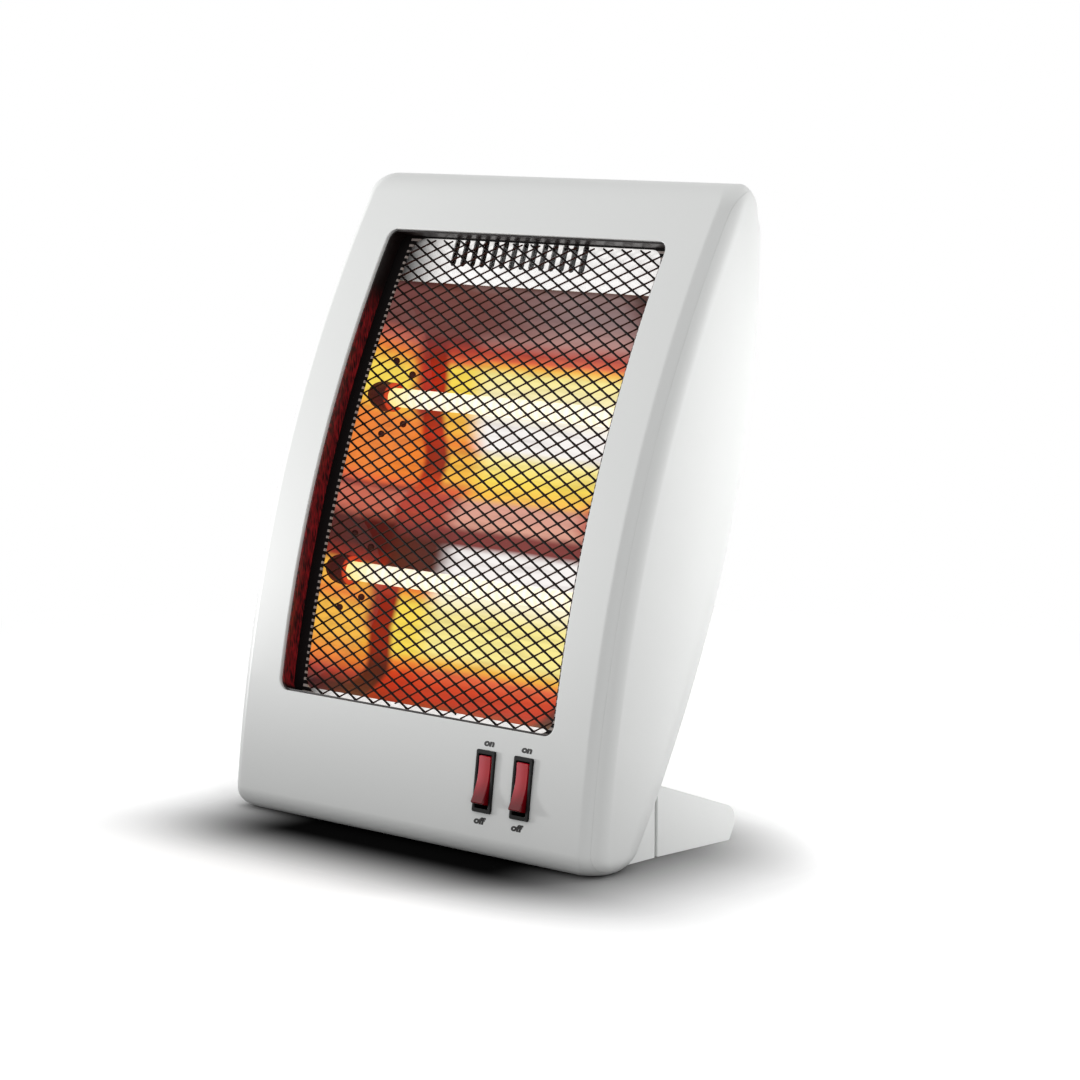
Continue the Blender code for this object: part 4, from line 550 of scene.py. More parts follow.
def hollow_mesh(inset):
    return body_mesh(inset, 4, 18, 6, 4, 8)


def front_region(depth, clearance=0.0):
    """Everything in front of the parting line, as one long prism."""
    reach = depth + clearance
    outline = [(NOSE_Y + clearance, -FAR)]
    for angle in quarter_steps(12):
        outline.append((NOSE_Y + clearance - (NOSE_RADIUS - depth) * math.sin(angle),
                        NOSE_RADIUS - (NOSE_RADIUS - reach) * math.cos(angle)))
    outline += [behind_front(z, reach) for z in even_steps(NOSE_RADIUS, ARC_START, 56)[1:]]
    for step, angle in enumerate(quarter_steps(12, ARC_ANGLE)[1:], 1):
        outline.append((ARC_Y + clearance * step / 12 - (TOP_FRONT_RADIUS - reach) * math.cos(angle),
                        ARC_Z + (TOP_FRONT_RADIUS - reach) * math.sin(angle)))
    outline += [(ARC_Y + clearance, HEIGHT + FAR), (-2 * FAR, HEIGHT + FAR), (-2 * FAR, -FAR)]
    return prism(outline, -FAR, FAR)


# Leaning frame of the window

WINDOW_LEAN = math.atan2(front_y(WINDOW_TOP) - front_y(WINDOW_BOTTOM), WINDOW_TOP - WINDOW_BOTTOM)
WINDOW_MIDDLE = Vector((0, (front_y(WINDOW_TOP) + front_y(WINDOW_BOTTOM)) / 2,
                        (WINDOW_TOP + WINDOW_BOTTOM) / 2))
WINDOW_HALF_LENGTH = (WINDOW_TOP - WINDOW_BOTTOM) / 2 / math.cos(WINDOW_LEAN)
LEAN = Matrix.Translation(WINDOW_MIDDLE) @ Matrix.Rotation(-WINDOW_LEAN, 4, "X")
TO_LEAN = LEAN.inverted()


def front_at_lean(height):
    """Depth of the front surface in the leaning frame, at a height in that frame."""
    low, high = NOSE_RADIUS, ARC_START
    for _ in range(40):
        z = (low + high) / 2
        if (TO_LEAN @ Vector((0, front_y(z), z))).z < height:
            low = z
        else:
            high = z
    return (TO_LEAN @ Vector((0, front_y(low), low))).y


def guard_reach():
    depths = []
    for z in (WINDOW_BOTTOM - GUARD_OVERLAP, WINDOW_TOP + GUARD_OVERLAP):
        y, height = behind_front(z, COLLAR_DEPTH + GAP + GUARD_THICKNESS)
        depths.append((TO_LEAN @ Vector((0, y, height))).y)
    return max(depths)


CHASSIS_FACE = guard_reach() + GAP
REFLECTOR_FACE = CHASSIS_FACE + CHASSIS_THICKNESS + GAP
TUBE_Y = CHASSIS_FACE + TUBE_DEPTH


def window_outline(half_x, half_z, radius, arc_steps=8, side_steps=48):
    """Right side of a rounded rectangle from bottom to top, then the left side back down."""
    right = [(half_x - radius + radius * math.sin(angle), -half_z + radius - radius * math.cos(angle))
             for angle in quarter_steps(arc_steps)]
    straight = half_z - radius
    right += [(half_x, -straight + 2 * straight * step / side_steps) for step in range(1, side_steps)]
    right += [(x, -z) for x, z in reversed(right[:arc_steps + 1])]
    return right + [(-x, z) for x, z in reversed(right)]


def window_ring(grow, depth, grow_ends=None, corner=None):
    """Outline of the window, grown sideways, at a depth behind the curved front along the lean."""
    if grow_ends is None:
        grow_ends = grow
    if corner is None:
        corner = max(WINDOW_CORNER + grow, 2 * MM)
    outline = window_outline(WINDOW_HALF_WIDTH + grow, WINDOW_HALF_LENGTH + grow_ends, corner)
    return [LEAN @ Vector((x, front_at_lean(z) + depth, z)) for x, z in outline]


def window_block(rings):
    """Loft of window outlines; the ends are closed by level strips, so they follow the front."""
    mesh = loft(rings)
    count = len(rings[0])
    points = [tuple(v.co) for v in mesh.vertices]
    faces = [tuple(p.vertices) for p in mesh.polygons if len(p.vertices) == 4]
    for first in (0, count * (len(rings) - 1)):
        for step in range(count // 2 - 1):
            faces.append((first + step, first + step + 1,
                          first + count - 2 - step, first + count - 1 - step))
    return mesh_from(points, faces)


def window_cutter():
    """The window opening, with a rounded lip where it meets the front."""
    lip = [window_ring(LIP_RADIUS * (1 - math.sin(angle)), LIP_RADIUS * (1 - math.cos(angle)))
           for angle in quarter_steps(6)]
    return window_block([window_ring(LIP_RADIUS, -NEAR / 4), *lip, window_ring(0.0, NEAR)])


def collar_mesh():
    return window_block([window_ring(COLLAR_WALL, WALL / 2), window_ring(COLLAR_WALL, COLLAR_DEPTH)])


# Node materials

def srgb(*display):
    """Linear colour from 8-bit display values."""
    def linear(value):
        return value / 12.92 if value <= 0.04045 else ((value + 0.055) / 1.055) ** 2.4
    return (*(linear(value / 255) for value in display), 1.0)


def feed(socket, value):
    """Set an input to a value, or link it to the socket that feeds it."""
    if isinstance(value, bpy.types.NodeSocket):
        socket.id_data.links.new(value, socket)
    else:
        socket.default_value = value


def node(tree, kind, inputs, **settings):
    """Add a node; inputs are values or the sockets that feed them."""
    made = tree.nodes.new("ShaderNode" + kind)
    for key, value in settings.items():
        setattr(made, key, value)
    for key, value in inputs.items():
        feed(made.inputs[key], value)
    return made


def calc(tree, operation, first, second=0.0, **settings):
    return node(tree, "Math", {0: first, 1: second}, operation=operation, **settings).outputs[0]


def mix(tree, share, first, second):
    return node(tree, "Mix", {0: share, 6: first, 7: second}, data_type="RGBA").outputs[2]


def map_range(tree, value, low, high, to_low=0.0, to_high=1.0, **settings):
    return node(tree, "MapRange", {
        "Value": value, "From Min": low, "From Max": high, "To Min": to_low, "To Max": to_high,
    }, **settings).outputs["Result"]


def share_between(tree, value, low, high):
    """Smooth 0 to 1 share of a value between two limits."""
    return map_range(tree, value, low, high, interpolation_type="SMOOTHSTEP")


def place_of(tree):
    return node(tree, "TexCoord", {}).outputs["Object"]


def noise(tree, scale, detail=3.0, stretch=(1, 1, 1)):
    mapped = node(tree, "Mapping", {"Vector": place_of(tree), "Scale": stretch})
    return node(tree, "TexNoise", {
        "Vector": mapped.outputs["Vector"], "Scale": scale, "Detail": detail}).outputs["Fac"]


def ramp(tree, factor, stops):
    """Colours by factor; stops are (position, colour)."""
    made = node(tree, "ValToRGB", {"Fac": factor})
    elements = made.color_ramp.elements
    elements[0].position, elements[0].color = stops[0]
    elements[1].position, elements[1].color = stops[-1]
    for position, colour in stops[1:-1]:
        elements.new(position).color = colour
    return made.outputs["Color"]


def new_material(name, colour, roughness, metallic=0.0, gloss=0.5):
    """A Principled material; returns it with its tree and shader."""
    made = bpy.data.materials.new(name)
    made.use_nodes = True
    shader = made.node_tree.nodes["Principled BSDF"]
    shader.inputs["Base Color"].default_value = colour
    shader.inputs["Roughness"].default_value = roughness
    shader.inputs["Metallic"].default_value = metallic
    shader.inputs["Specular IOR Level"].default_value = gloss
    return made, made.node_tree, shader


def mottle(tree, shader, colour, spread, scale):
    """Vary the base colour a little, as real surfaces do."""
    dark = (*(c * (1 - spread) for c in colour[:3]), 1.0)
    light = (*(min(c * (1 + spread), 1.0) for c in colour[:3]), 1.0)
    feed(shader.inputs["Base Color"], ramp(tree, noise(tree, scale, 4.0), [(0.15, dark), (0.85, light)]))


def roughen(tree, shader, low, high, scale, stretch=(1, 1, 1)):
    feed(shader.inputs["Roughness"], map_range(tree, noise(tree, scale, 3.0, stretch), 0.15, 0.85, low, high))


def bump(tree, shader, height, strength, distance):
    made = node(tree, "Bump", {"Height": height, "Strength": strength, "Distance": distance})
    feed(shader.inputs["Normal"], made.outputs["Normal"])


def shine(shader, colour, strength):
    feed(shader.inputs["Emission Color"], colour)
    feed(shader.inputs["Emission Strength"], strength)


def moulded_plastic(name, colour, low, high, grain=900, depth=0.02 * MM, spread=0.004, gloss=0.5):
    made, tree, shader = new_material(name, colour, low, gloss=gloss)
    mottle(tree, shader, colour, spread, 9)
    roughen(tree, shader, low, high, 60)
    bump(tree, shader, noise(tree, grain, 2.0), 0.35, depth)
    return made


def thin_wire(name, colour):
    return moulded_plastic(name, colour, 0.6, 0.75, 1200, 0.03 * MM, 0.3, 0.1)


def rocker_painted_highlight(name):
    """Red see-through moulding with a painted pale pink highlight at the upper left, and painted shade that
    turns it deep red towards the lower end.
    """
    made, tree, shader = new_material(name, srgb(176, 12, 30), 0.12)
    place = node(tree, "SeparateXYZ", {0: place_of(tree)})
    first = SWITCH_PLACES[0][1] - SWITCH_PITCH / 2
    across = calc(tree, "MODULO", calc(tree, "SUBTRACT", place.outputs["X"], first), SWITCH_PITCH)
    left = share_between(tree, across, SWITCH_PITCH / 2 + 2.5 * MM, SWITCH_PITCH / 2 - 3 * MM)
    high = share_between(tree, place.outputs["Z"], SWITCH_HEIGHT - 9 * MM, SWITCH_HEIGHT + 6 * MM)
    # painted shade: deep red towards the lower end
    body = mix(tree, high, srgb(110, 2, 14), srgb(184, 14, 32))
    # painted highlight, pale pink at the upper left
    painted_highlight = mix(tree, calc(tree, "MULTIPLY", left, high), body, srgb(206, 72, 84))
    feed(shader.inputs["Base Color"], painted_highlight)
    roughen(tree, shader, 0.1, 0.18, 300)
    bump(tree, shader, noise(tree, 400, 2.0), 0.3, 0.01 * MM)
    return made


def plain_metal(name, colour, low, high):
    made, tree, shader = new_material(name, colour, low, 1.0)
    mottle(tree, shader, colour, 0.06, 120)
    roughen(tree, shader, low, high, 200)
    bump(tree, shader, noise(tree, 400), 0.25, 0.03 * MM)
    return made


def fired_ceramic(name, colour):
    made, tree, shader = new_material(name, colour, 0.75)
    mottle(tree, shader, colour, 0.25, 260)
    roughen(tree, shader, 0.6, 0.85, 300)
    bump(tree, shader, noise(tree, 1400, 4.0), 0.5, 0.06 * MM)
    return made


def lean_place(tree):
    """Sockets x, y, z of the leaning frame, in millimetres."""
    shift = node(tree, "VectorMath", {0: place_of(tree), 1: tuple(WINDOW_MIDDLE)}, operation="SUBTRACT")
    turn = node(tree, "VectorRotate", {0: shift.outputs[0], "Angle": WINDOW_LEAN}, rotation_type="X_AXIS")
    scaled = node(tree, "VectorMath", {0: turn.outputs[0], "Scale": 1 / MM}, operation="SCALE")
    return node(tree, "SeparateXYZ", {0: scaled.outputs[0]}).outputs[:]


# Glow colours: the tubes' own light, and the glow and shade painted on the sheets, from darkest painted shade
# to white
SHADED_MAROON = srgb(62, 36, 37)
UMBER = srgb(80, 26, 22)
WINE = srgb(124, 50, 50)
PLUM = srgb(116, 76, 74)
MAUVE = srgb(136, 112, 112)
DUSK = srgb(176, 132, 126)
ROSE = srgb(200, 106, 86)
BLUSH = srgb(216, 156, 138)
GARNET = srgb(148, 38, 22)
RED = srgb(188, 42, 22)
EMBER = srgb(208, 62, 26)
RUST = srgb(178, 64, 48)
FLAME = srgb(226, 102, 62)
ORANGE = srgb(238, 130, 50)
AMBER = srgb(243, 182, 66)
YELLOW = srgb(248, 218, 84)
STRAW = srgb(249, 234, 146)
CREAM = srgb(250, 242, 208)
WHITE = srgb(246, 242, 240)

GLOW_LOW = -124.0
GLOW_HIGH = 107.0
BAND_AT_RIGHT = 75                  # place of the painted dark red shade band at the right end
WIDER_AT_RIGHT = 22                 # more reach of the painted bright middle at the right end

# Heights along the lean in millimetres, from the bottom flange to the top one; painted glow and shade on the
# sheets
MIDDLE_GLOW = (
    (-121, GARNET), (-116, RED), (-108, EMBER), (-101, FLAME), (-96, AMBER), (-90, STRAW), (-70, STRAW),
    (-60, CREAM), (-50, WHITE), (-36, WHITE), (-33, WINE), (-27, WINE), (-24, BLUSH), (-13, BLUSH),
    (-9, AMBER), (2, YELLOW), (13, STRAW), (20, WHITE), (32, WHITE), (42, CREAM), (60, STRAW),
    (64, AMBER), (67, FLAME), (71, RUST), (78, DUSK), (88, MAUVE), (98, MAUVE), (101, SHADED_MAROON),
)
FLANK_GLOW = (
    (-121, GARNET), (-112, RED), (-104, EMBER), (-98, ORANGE), (-92, YELLOW), (-86, YELLOW), (-66, YELLOW),
    (-59, ORANGE), (-54, RUST), (-48, UMBER), (-34, UMBER), (-28, WINE), (-20, RUST), (-12, RUST),
    (-7, FLAME), (0, AMBER), (12, AMBER), (20, ORANGE), (28, AMBER), (36, AMBER), (46, YELLOW), (61, YELLOW),
    (65, FLAME), (70, RUST), (76, WINE), (86, PLUM), (96, UMBER), (101, SHADED_MAROON),
)
BAND_GLOW = (
    (-121, SHADED_MAROON), (-113, UMBER), (-102, UMBER), (-92, GARNET), (-66, GARNET), (-58, RUST), (-50, UMBER),
    (-34, UMBER), (-28, WINE), (-20, RUST), (-12, RUST), (-4, EMBER), (4, GARNET), (14, GARNET), (24, RED),
    (36, GARNET), (58, RED), (66, GARNET), (74, WINE), (86, PLUM), (98, SHADED_MAROON),
)
EDGE_GLOW = (
    (-121, SHADED_MAROON), (-112, UMBER), (-103, FLAME), (-94, ORANGE), (-66, AMBER), (-58, RUST), (-50, UMBER),
    (-38, UMBER), (-27, UMBER), (-22, ROSE), (-12, ROSE), (-9, WINE), (-6, FLAME), (4, ORANGE), (11, EMBER),
    (24, EMBER), (32, ORANGE), (56, ORANGE), (62, EMBER), (67, RUST), (74, WINE), (86, PLUM), (98, SHADED_MAROON),
)
PLATE_GLOW = (
    (-116, SHADED_MAROON), (-108, RUST), (-101, ORANGE), (-88, AMBER), (-74, AMBER), (-67, ORANGE),
    (-60, AMBER), (-53, AMBER), (-48, GARNET), (-40, UMBER), (-28, UMBER), (-22, ROSE), (-12, ROSE),
    (-9, WINE), (-6, FLAME), (0, ORANGE), (29, ORANGE), (35, AMBER), (42, YELLOW), (55, YELLOW),
    (61, AMBER), (66, ORANGE), (73, ROSE), (84, RUST), (95, PLUM), (101, SHADED_MAROON),
)
# Distance of the painted dark red shade band at the trough's end from the middle, by height
BAND_PLACE = (
    (-121, 56), (-104, 58), (-92, 66), (-80, 73), (-56, 74), (-46, 66), (-26, 56), (-8, 44), (0, 50),
    (12, 56), (24, 66), (36, 73), (60, 75), (70, 75), (101, 74),
)


def height_ramp(tree, height, stops):
    factor = map_range(tree, height, GLOW_LOW, GLOW_HIGH)
    span = GLOW_HIGH - GLOW_LOW
    return ramp(tree, factor, [((mm - GLOW_LOW) / span, colour) for mm, colour in stops])


def waver(tree, value, size, scale):
    """Bend a coordinate a little, so that bands of glow aren't ruled lines."""
    shift = calc(tree, "MULTIPLY", calc(tree, "ADD", noise(tree, scale, 2.0), -0.5), size)
    return calc(tree, "ADD", value, shift)


def from_middle(tree, x, size=0.0):
    """Distance from the middle of the heater, bent by a size."""
    return waver(tree, calc(tree, "ABSOLUTE", x), size, 20)


def lit_front(tree, strength):
    """Strength of the painted light on the faces that look out of the window, and none on their backs."""
    outwards = LEAN.to_3x3() @ Vector((0, -1, 0))
    normal = node(tree, "TexCoord", {}).outputs["Normal"]
    facing = node(tree, "VectorMath", {0: normal, 1: tuple(outwards)}, operation="DOT_PRODUCT")
    return calc(tree, "MULTIPLY", share_between(tree, facing.outputs["Value"], 0.01, 0.06), strength)


def inside_band(tree, x, height):
    """Millimetres from the painted dark red shade band towards the middle of the trough."""
    def grey(distance):
        return distance / 100, distance / 100, distance / 100, 1
    left = height_ramp(tree, height, [(place, grey(distance)) for place, distance in BAND_PLACE])
    band = mix(tree, share_between(tree, x, 0, 30), left, grey(BAND_AT_RIGHT))
    return calc(tree, "SUBTRACT", calc(tree, "MULTIPLY", band, 100), from_middle(tree, x, 3.0))


def painted_glow_sheet(name):
    """Polished sheet with the tubes' glow painted on as emission, by its place in the leaning frame, and
    painted shade under the top rim at the left.
    """
    # base kept near black, so that the painted glow gives the colour
    made, tree, shader = new_material(name, (0.03, 0.028, 0.026, 1.0), 0.4, 1.0)
    x, y, z = lean_place(tree)
    height = waver(tree, z, 3.0, 14)
    inside = inside_band(tree, x, height)
    inner = calc(tree, "ADD", inside, calc(tree, "MULTIPLY", share_between(tree, x, 0, 30), WIDER_AT_RIGHT))
    glow = height_ramp(tree, height, PLATE_GLOW)
    # painted glow by height, in bands from the painted dark red shade band towards the middle
    for place, far, near, stops in ((inside, -14, -7, EDGE_GLOW), (inside, -12, -7, BAND_GLOW),
                                    (inside, 4, 10, FLANK_GLOW), (inner, 20, 40, MIDDLE_GLOW)):
        glow = mix(tree, share_between(tree, place, far, near), glow, height_ramp(tree, height, stops))
    # painted shade under the top rim, at the left end
    shaded = calc(tree, "MULTIPLY", share_between(tree, x, 35, -45), share_between(tree, z, 72, 82))
    below_rim = calc(tree, "MULTIPLY", shaded, share_between(tree, z, 101, 97))
    glow = mix(tree, below_rim, glow, srgb(112, 68, 65))
    streaks = map_range(tree, noise(tree, 30, 4.0, (1, 5, 9)), 0.45, 0.75, 0.0, 0.25)
    shine(shader, mix(tree, streaks, glow, UMBER), lit_front(tree, 1.0))
    roughen(tree, shader, 0.3, 0.5, 90, (1, 8, 8))
    bump(tree, shader, noise(tree, 60, 3.0, (1, 6, 6)), 0.25, 0.15 * MM)
    return made


def lit_enamel(name):
    """White sheet with the tubes' light painted on as emission, and painted shade at its left end."""
    colour = (0.80, 0.80, 0.79, 1.0)
    made, tree, shader = new_material(name, colour, 0.3)
    mottle(tree, shader, colour, 0.004, 9)
    light = ramp(tree, noise(tree, 18, 2.0), [(0.2, srgb(226, 224, 222)), (0.8, srgb(246, 244, 242))])
    x, y, z = lean_place(tree)
    # painted shade at the left end, painted light elsewhere
    shade = mix(tree, share_between(tree, x, -87, -62), srgb(30, 27, 27), light)
    shine(shader, shade, lit_front(tree, 0.66))
    roughen(tree, shader, 0.24, 0.34, 60)
    bump(tree, shader, noise(tree, 500, 2.0), 0.3, 0.02 * MM)
    return made


def glowing_liner(name):
    """Black painted ring whose sides carry the tubes' red glow, painted on as emission in flecks and fading
    out towards the top.
    """
    made, tree, shader = new_material(name, srgb(20, 10, 10), 0.35)
    x, y, z = lean_place(tree)
    side = share_between(tree, from_middle(tree, x), 93, 95)
    grain = noise(tree, 520, 4.0, (1, 3, 0.5))
    painted_red_glow = ramp(tree, grain, [(0.38, srgb(14, 3, 4)), (0.68, srgb(108, 14, 18))])
    # painted red glow on the sides, fading out towards the top
    shine(shader, painted_red_glow, calc(tree, "MULTIPLY", side, share_between(tree, z, 96, 70)))
    bump(tree, shader, noise(tree, 700, 3.0), 0.6, 0.08 * MM)
    return made


def border_painted_glints(name):
    """Black border with pale painted glints along its inner edge, one at each strand."""
    made, tree, shader = new_material(name, srgb(9, 6, 6), 0.6, gloss=0.1)
    x, y, z = lean_place(tree)
    inner = (WINDOW_HALF_WIDTH - GUARD_SIDE_BORDER) / MM
    edge = share_between(tree, from_middle(tree, x), inner + 1.3, inner + 0.9)
    wave = calc(tree, "SINE", calc(tree, "MULTIPLY", z, 2 * math.tau * MM / DIAMOND_HEIGHT))
    # painted glints: pale spots along the inner edge
    painted_glints = calc(tree, "MULTIPLY", share_between(tree, wave, 0.1, 0.5), edge)
    feed(shader.inputs["Base Color"], mix(tree, painted_glints, srgb(9, 6, 6), srgb(176, 164, 158)))
    roughen(tree, shader, 0.6, 0.75, 1200)
    bump(tree, shader, noise(tree, 1200, 2.0), 0.3, 0.03 * MM)
    return made


def hot_glass(name):
    """Frosted tube lit by its coil, rippled by the turns and yellower at its ends."""
    made, tree, shader = new_material(name, (0.5, 0.45, 0.35, 1.0), 0.3)
    x, y, z = lean_place(tree)
    turns = node(tree, "TexWave", {
        "Vector": place_of(tree), "Scale": 60.0, "Distortion": 1.5, "Detail": 1.0}, bands_direction="X")
    body = ramp(tree, turns.outputs["Fac"], [(0.0, CREAM), (1.0, srgb(255, 250, 236))])
    shine(shader, mix(tree, share_between(tree, from_middle(tree, x), 62, 88), body, STRAW), 0.95)
    return made


def ceramic_painted_glow(name):
    """Brown ceramic with the tubes' glow painted on: dim red all over, orange where the tube enters it."""
    colour = srgb(84, 40, 36)
    made, tree, shader = new_material(name, colour, 0.7)
    x, y, z = lean_place(tree)
    mottle(tree, shader, colour, 0.25, 260)
    # painted glow: orange where the tube enters, dim red elsewhere
    reach = share_between(tree, from_middle(tree, x), 88.2, 86.8)
    shine(shader, mix(tree, reach, srgb(58, 20, 20), EMBER), 0.9)
    roughen(tree, shader, 0.6, 0.85, 300)
    bump(tree, shader, noise(tree, 1400, 4.0), 0.5, 0.06 * MM)
    return made


def glowing_wire(name):
    made, tree, shader = new_material(name, srgb(120, 70, 40), 0.5, 0.3)
    shine(shader, ramp(tree, noise(tree, 300), [(0.3, YELLOW), (0.7, WHITE)]), 2.0)
    return made


def make_finishes():
    return {
        "white": moulded_plastic("white_moulding", (0.80, 0.81, 0.80, 1.0), 0.4, 0.46),
        "enamel": lit_enamel("white_enamel_sheet"),
        "black": moulded_plastic("black_moulding", srgb(9, 9, 9), 0.35, 0.5, spread=0.2, gloss=0.2),
        "wire": thin_wire("black_painted_wire", srgb(16, 9, 8)),
        # finer strands in a plain reddish brown
        "fine_wire": thin_wire("reddish_brown_thin_wire", srgb(56, 28, 20)),
        "liner": glowing_liner("liner_enamel"),
        "border": border_painted_glints("black_border_painted_glints"),
        "grey": moulded_plastic("grey_moulding", srgb(128, 128, 128), 0.35, 0.5),
        "red": rocker_painted_highlight("red_moulding"),
        "ink": moulded_plastic("black_print", srgb(24, 22, 22), 0.5, 0.6, spread=0.2),
        "glow": painted_glow_sheet("painted_glow_sheet"),
        "glass": hot_glass("hot_quartz"),
        "coil": glowing_wire("glowing_coil"),
        "cap": ceramic_painted_glow("brown_fired_ceramic"),
        "rivet": fired_ceramic("scorched_steel", srgb(70, 22, 16)),
        "ceramic": fired_ceramic("white_fired_ceramic", srgb(222, 216, 204)),
        "steel": plain_metal("zinc_plated_steel", (0.62, 0.62, 0.62, 1.0), 0.25, 0.45),
        "brass": plain_metal("brass_blade", (0.75, 0.55, 0.22, 1.0), 0.22, 0.4),
    }


# Shells

def pin(x, z, radius, start, end, segments=ROUND):
    """A rod along y at a place of the front view."""
    return rod(radius, start, end, "y", (x, 0, z), segments)


def slots(count, pitch, width, bottom, top, centre_x=0.0):
    """Outlines of a level row of upright slots with rounded ends."""
    for index in range(count):
        x = centre_x + (index - (count - 1) / 2) * pitch
        yield rounded_rectangle(width / 2, (top - bottom) / 2, width / 2.2, (x, (top + bottom) / 2), 5)


def housing_screw_places():
    for x, z in HOUSING_SCREWS:
        for _, sign in SIDES:
            yield sign * x, z, front_y(z) + BEZEL_BOSS_LENGTH


def switch_frame(x):
    return (Matrix.Translation((x, front_y(SWITCH_HEIGHT), SWITCH_HEIGHT))
            @ Matrix.Rotation(-front_angle(SWITCH_HEIGHT), 4, "X"))


def plinth(inset):
    outline = rounded_rectangle(PLINTH_HALF_WIDTH - inset, (PLINTH_REAR_Y - PLINTH_FRONT_Y) / 2 - inset,
                                PLINTH_CORNER, (0, (PLINTH_REAR_Y + PLINTH_FRONT_Y) / 2), 5)
    return prism(outline, inset, PLINTH_HEIGHT - inset, "z")


def boss_limit():
    return combine(hollow_mesh(WALL / 2), [("UNION", plinth(WALL / 2))])


def build_bezel(finish, limit):
    bosses = joined([pin(x, z, BOSS_RADIUS, front_y(z) - NEAR / 2, seam)
                     for x, z, seam in housing_screw_places()])
    bosses = combine(bosses, [("INTERSECT", limit.copy())])
    opening = centred(SWITCH_BODY_HALF_WIDTH + GAP, SWITCH_BODY_HALF_LENGTH + GAP)
    cuts = [moved(prism(opening, -NEAR, NEAR, "y"), switch_frame(x)) for _, x in SWITCH_PLACES]
    cuts += [pin(x, z, SCREW_HOLE, seam - SCREW_LENGTH + SCREW_SEAT_THICKNESS, seam + GAP, 16)
             for x, z, seam in housing_screw_places()]
    mesh = combine(body_mesh(0.0), [
        ("INTERSECT", front_region(BEZEL_EDGE)),
        ("DIFFERENCE", hollow_mesh(WALL)),
        ("UNION", collar_mesh()),
        ("UNION", bosses),
        ("DIFFERENCE", window_cutter()),
        ("DIFFERENCE", joined(cuts)),
    ])
    show("front_bezel_shell", mesh, finish, ["front_bezel"], smooth=30)


def gland_pad_face():
    return rear_line(GLAND_HEIGHT, 0.0) + GLAND_PAD_PROUD


def build_housing(finish, limit):
    pad_face = gland_pad_face()
    pad = pin(GLAND_X, GLAND_HEIGHT, GLAND_PAD_RADIUS, pad_face - 3 * GLAND_PAD_PROUD, pad_face)
    posts = joined([pin(x, z, POST_RADIUS, seam + GAP, REAR_Y) for x, z, seam in housing_screw_places()])
    posts = combine(posts, [("INTERSECT", limit.copy())])
    recess_shell = prism(handle_outline(WALL), REAR_Y - HANDLE_DEPTH - WALL, REAR_Y - WALL / 2, "y")
    sleeve = rod(TIP_SLEEVE_RADIUS, WALL / 2, TIP_SLEEVE_TOP, "z", (TIP_X, TIP_Y, 0))
    foot_bosses = [pin(sign * FOOT_X, FOOT_SCREW_HEIGHT, BOSS_RADIUS, PLINTH_REAR_Y - SCREW_LENGTH,
                       PLINTH_REAR_Y - WALL / 2) for _, sign in SIDES]
    mesh = combine(body_mesh(0.0), [
        ("UNION", plinth(0.0)),
        ("UNION", pad),
        ("DIFFERENCE", hollow_mesh(WALL)),
        ("DIFFERENCE", plinth(WALL)),
        ("DIFFERENCE", front_region(BEZEL_EDGE, SEAM)),
        ("UNION", joined([posts, recess_shell, sleeve, *foot_bosses])),
        ("DIFFERENCE", handle_cutter()),
        ("DIFFERENCE", housing_cuts(pad_face)),
    ])
    show("rear_housing_shell", mesh, finish, ["rear_housing"], smooth=30)


def handle_outline(grow):
    return rounded_rectangle(HANDLE_HALF_WIDTH + grow, (HANDLE_TOP - HANDLE_BOTTOM) / 2 + grow,
                             HANDLE_CORNER + grow, (0, (HANDLE_TOP + HANDLE_BOTTOM) / 2))


def handle_cutter():
    """Handle hollow with a rounded lip at the rear wall."""
    lip = [(HANDLE_LIP * (1 - math.sin(angle)), REAR_Y - HANDLE_LIP * (1 - math.cos(angle)))
           for angle in quarter_steps(5)]
    return loft([[(x, y, z) for x, z in handle_outline(grow)]
                 for grow, y in ((HANDLE_LIP, REAR_Y + NEAR), *lip, (0.0, REAR_Y - HANDLE_DEPTH))])


def housing_cuts(pad_face):
    cuts = []
    head = SCREW_HEAD_RADIUS + GAP
    for x, z, seam in housing_screw_places():
        seat = seam + GAP + SCREW_SEAT_THICKNESS
        cuts.append(lathe([(0, seam - GAP), (SCREW_HOLE, seam - GAP), (SCREW_HOLE, seat), (head, seat),
                           (head, REAR_Y + NEAR), (0, REAR_Y + NEAR)], "y", (x, 0, z), 28))
    for low, high in REAR_VENT_ROWS:
        for slot in slots(REAR_VENT_COUNT, REAR_VENT_PITCH, REAR_VENT_WIDTH, low, high):
            cuts.append(prism(slot, rear_line(low, 0.0) - 4 * WALL, REAR_Y + NEAR, "y"))
    cuts.append(pin(GLAND_X, GLAND_HEIGHT, GLAND_NECK_RADIUS + GAP, pad_face - 2 * NEAR, pad_face + NEAR))
    cuts.append(lathe([
        (0, -NEAR), (TIP_HOLE_RADIUS, -NEAR), (TIP_HOLE_RADIUS, WALL), (TIP_BORE_RADIUS, WALL),
        (TIP_BORE_RADIUS, TIP_SLEEVE_TOP + GAP), (0, TIP_SLEEVE_TOP + GAP)], "z", (TIP_X, TIP_Y, 0)))
    for _, sign in SIDES:
        cuts.append(pin(sign * FOOT_X, FOOT_SCREW_HEIGHT, SCREW_HOLE, PLINTH_REAR_Y - SCREW_LENGTH + WALL,
                        PLINTH_REAR_Y + NEAR, 16))
    return joined(cuts)


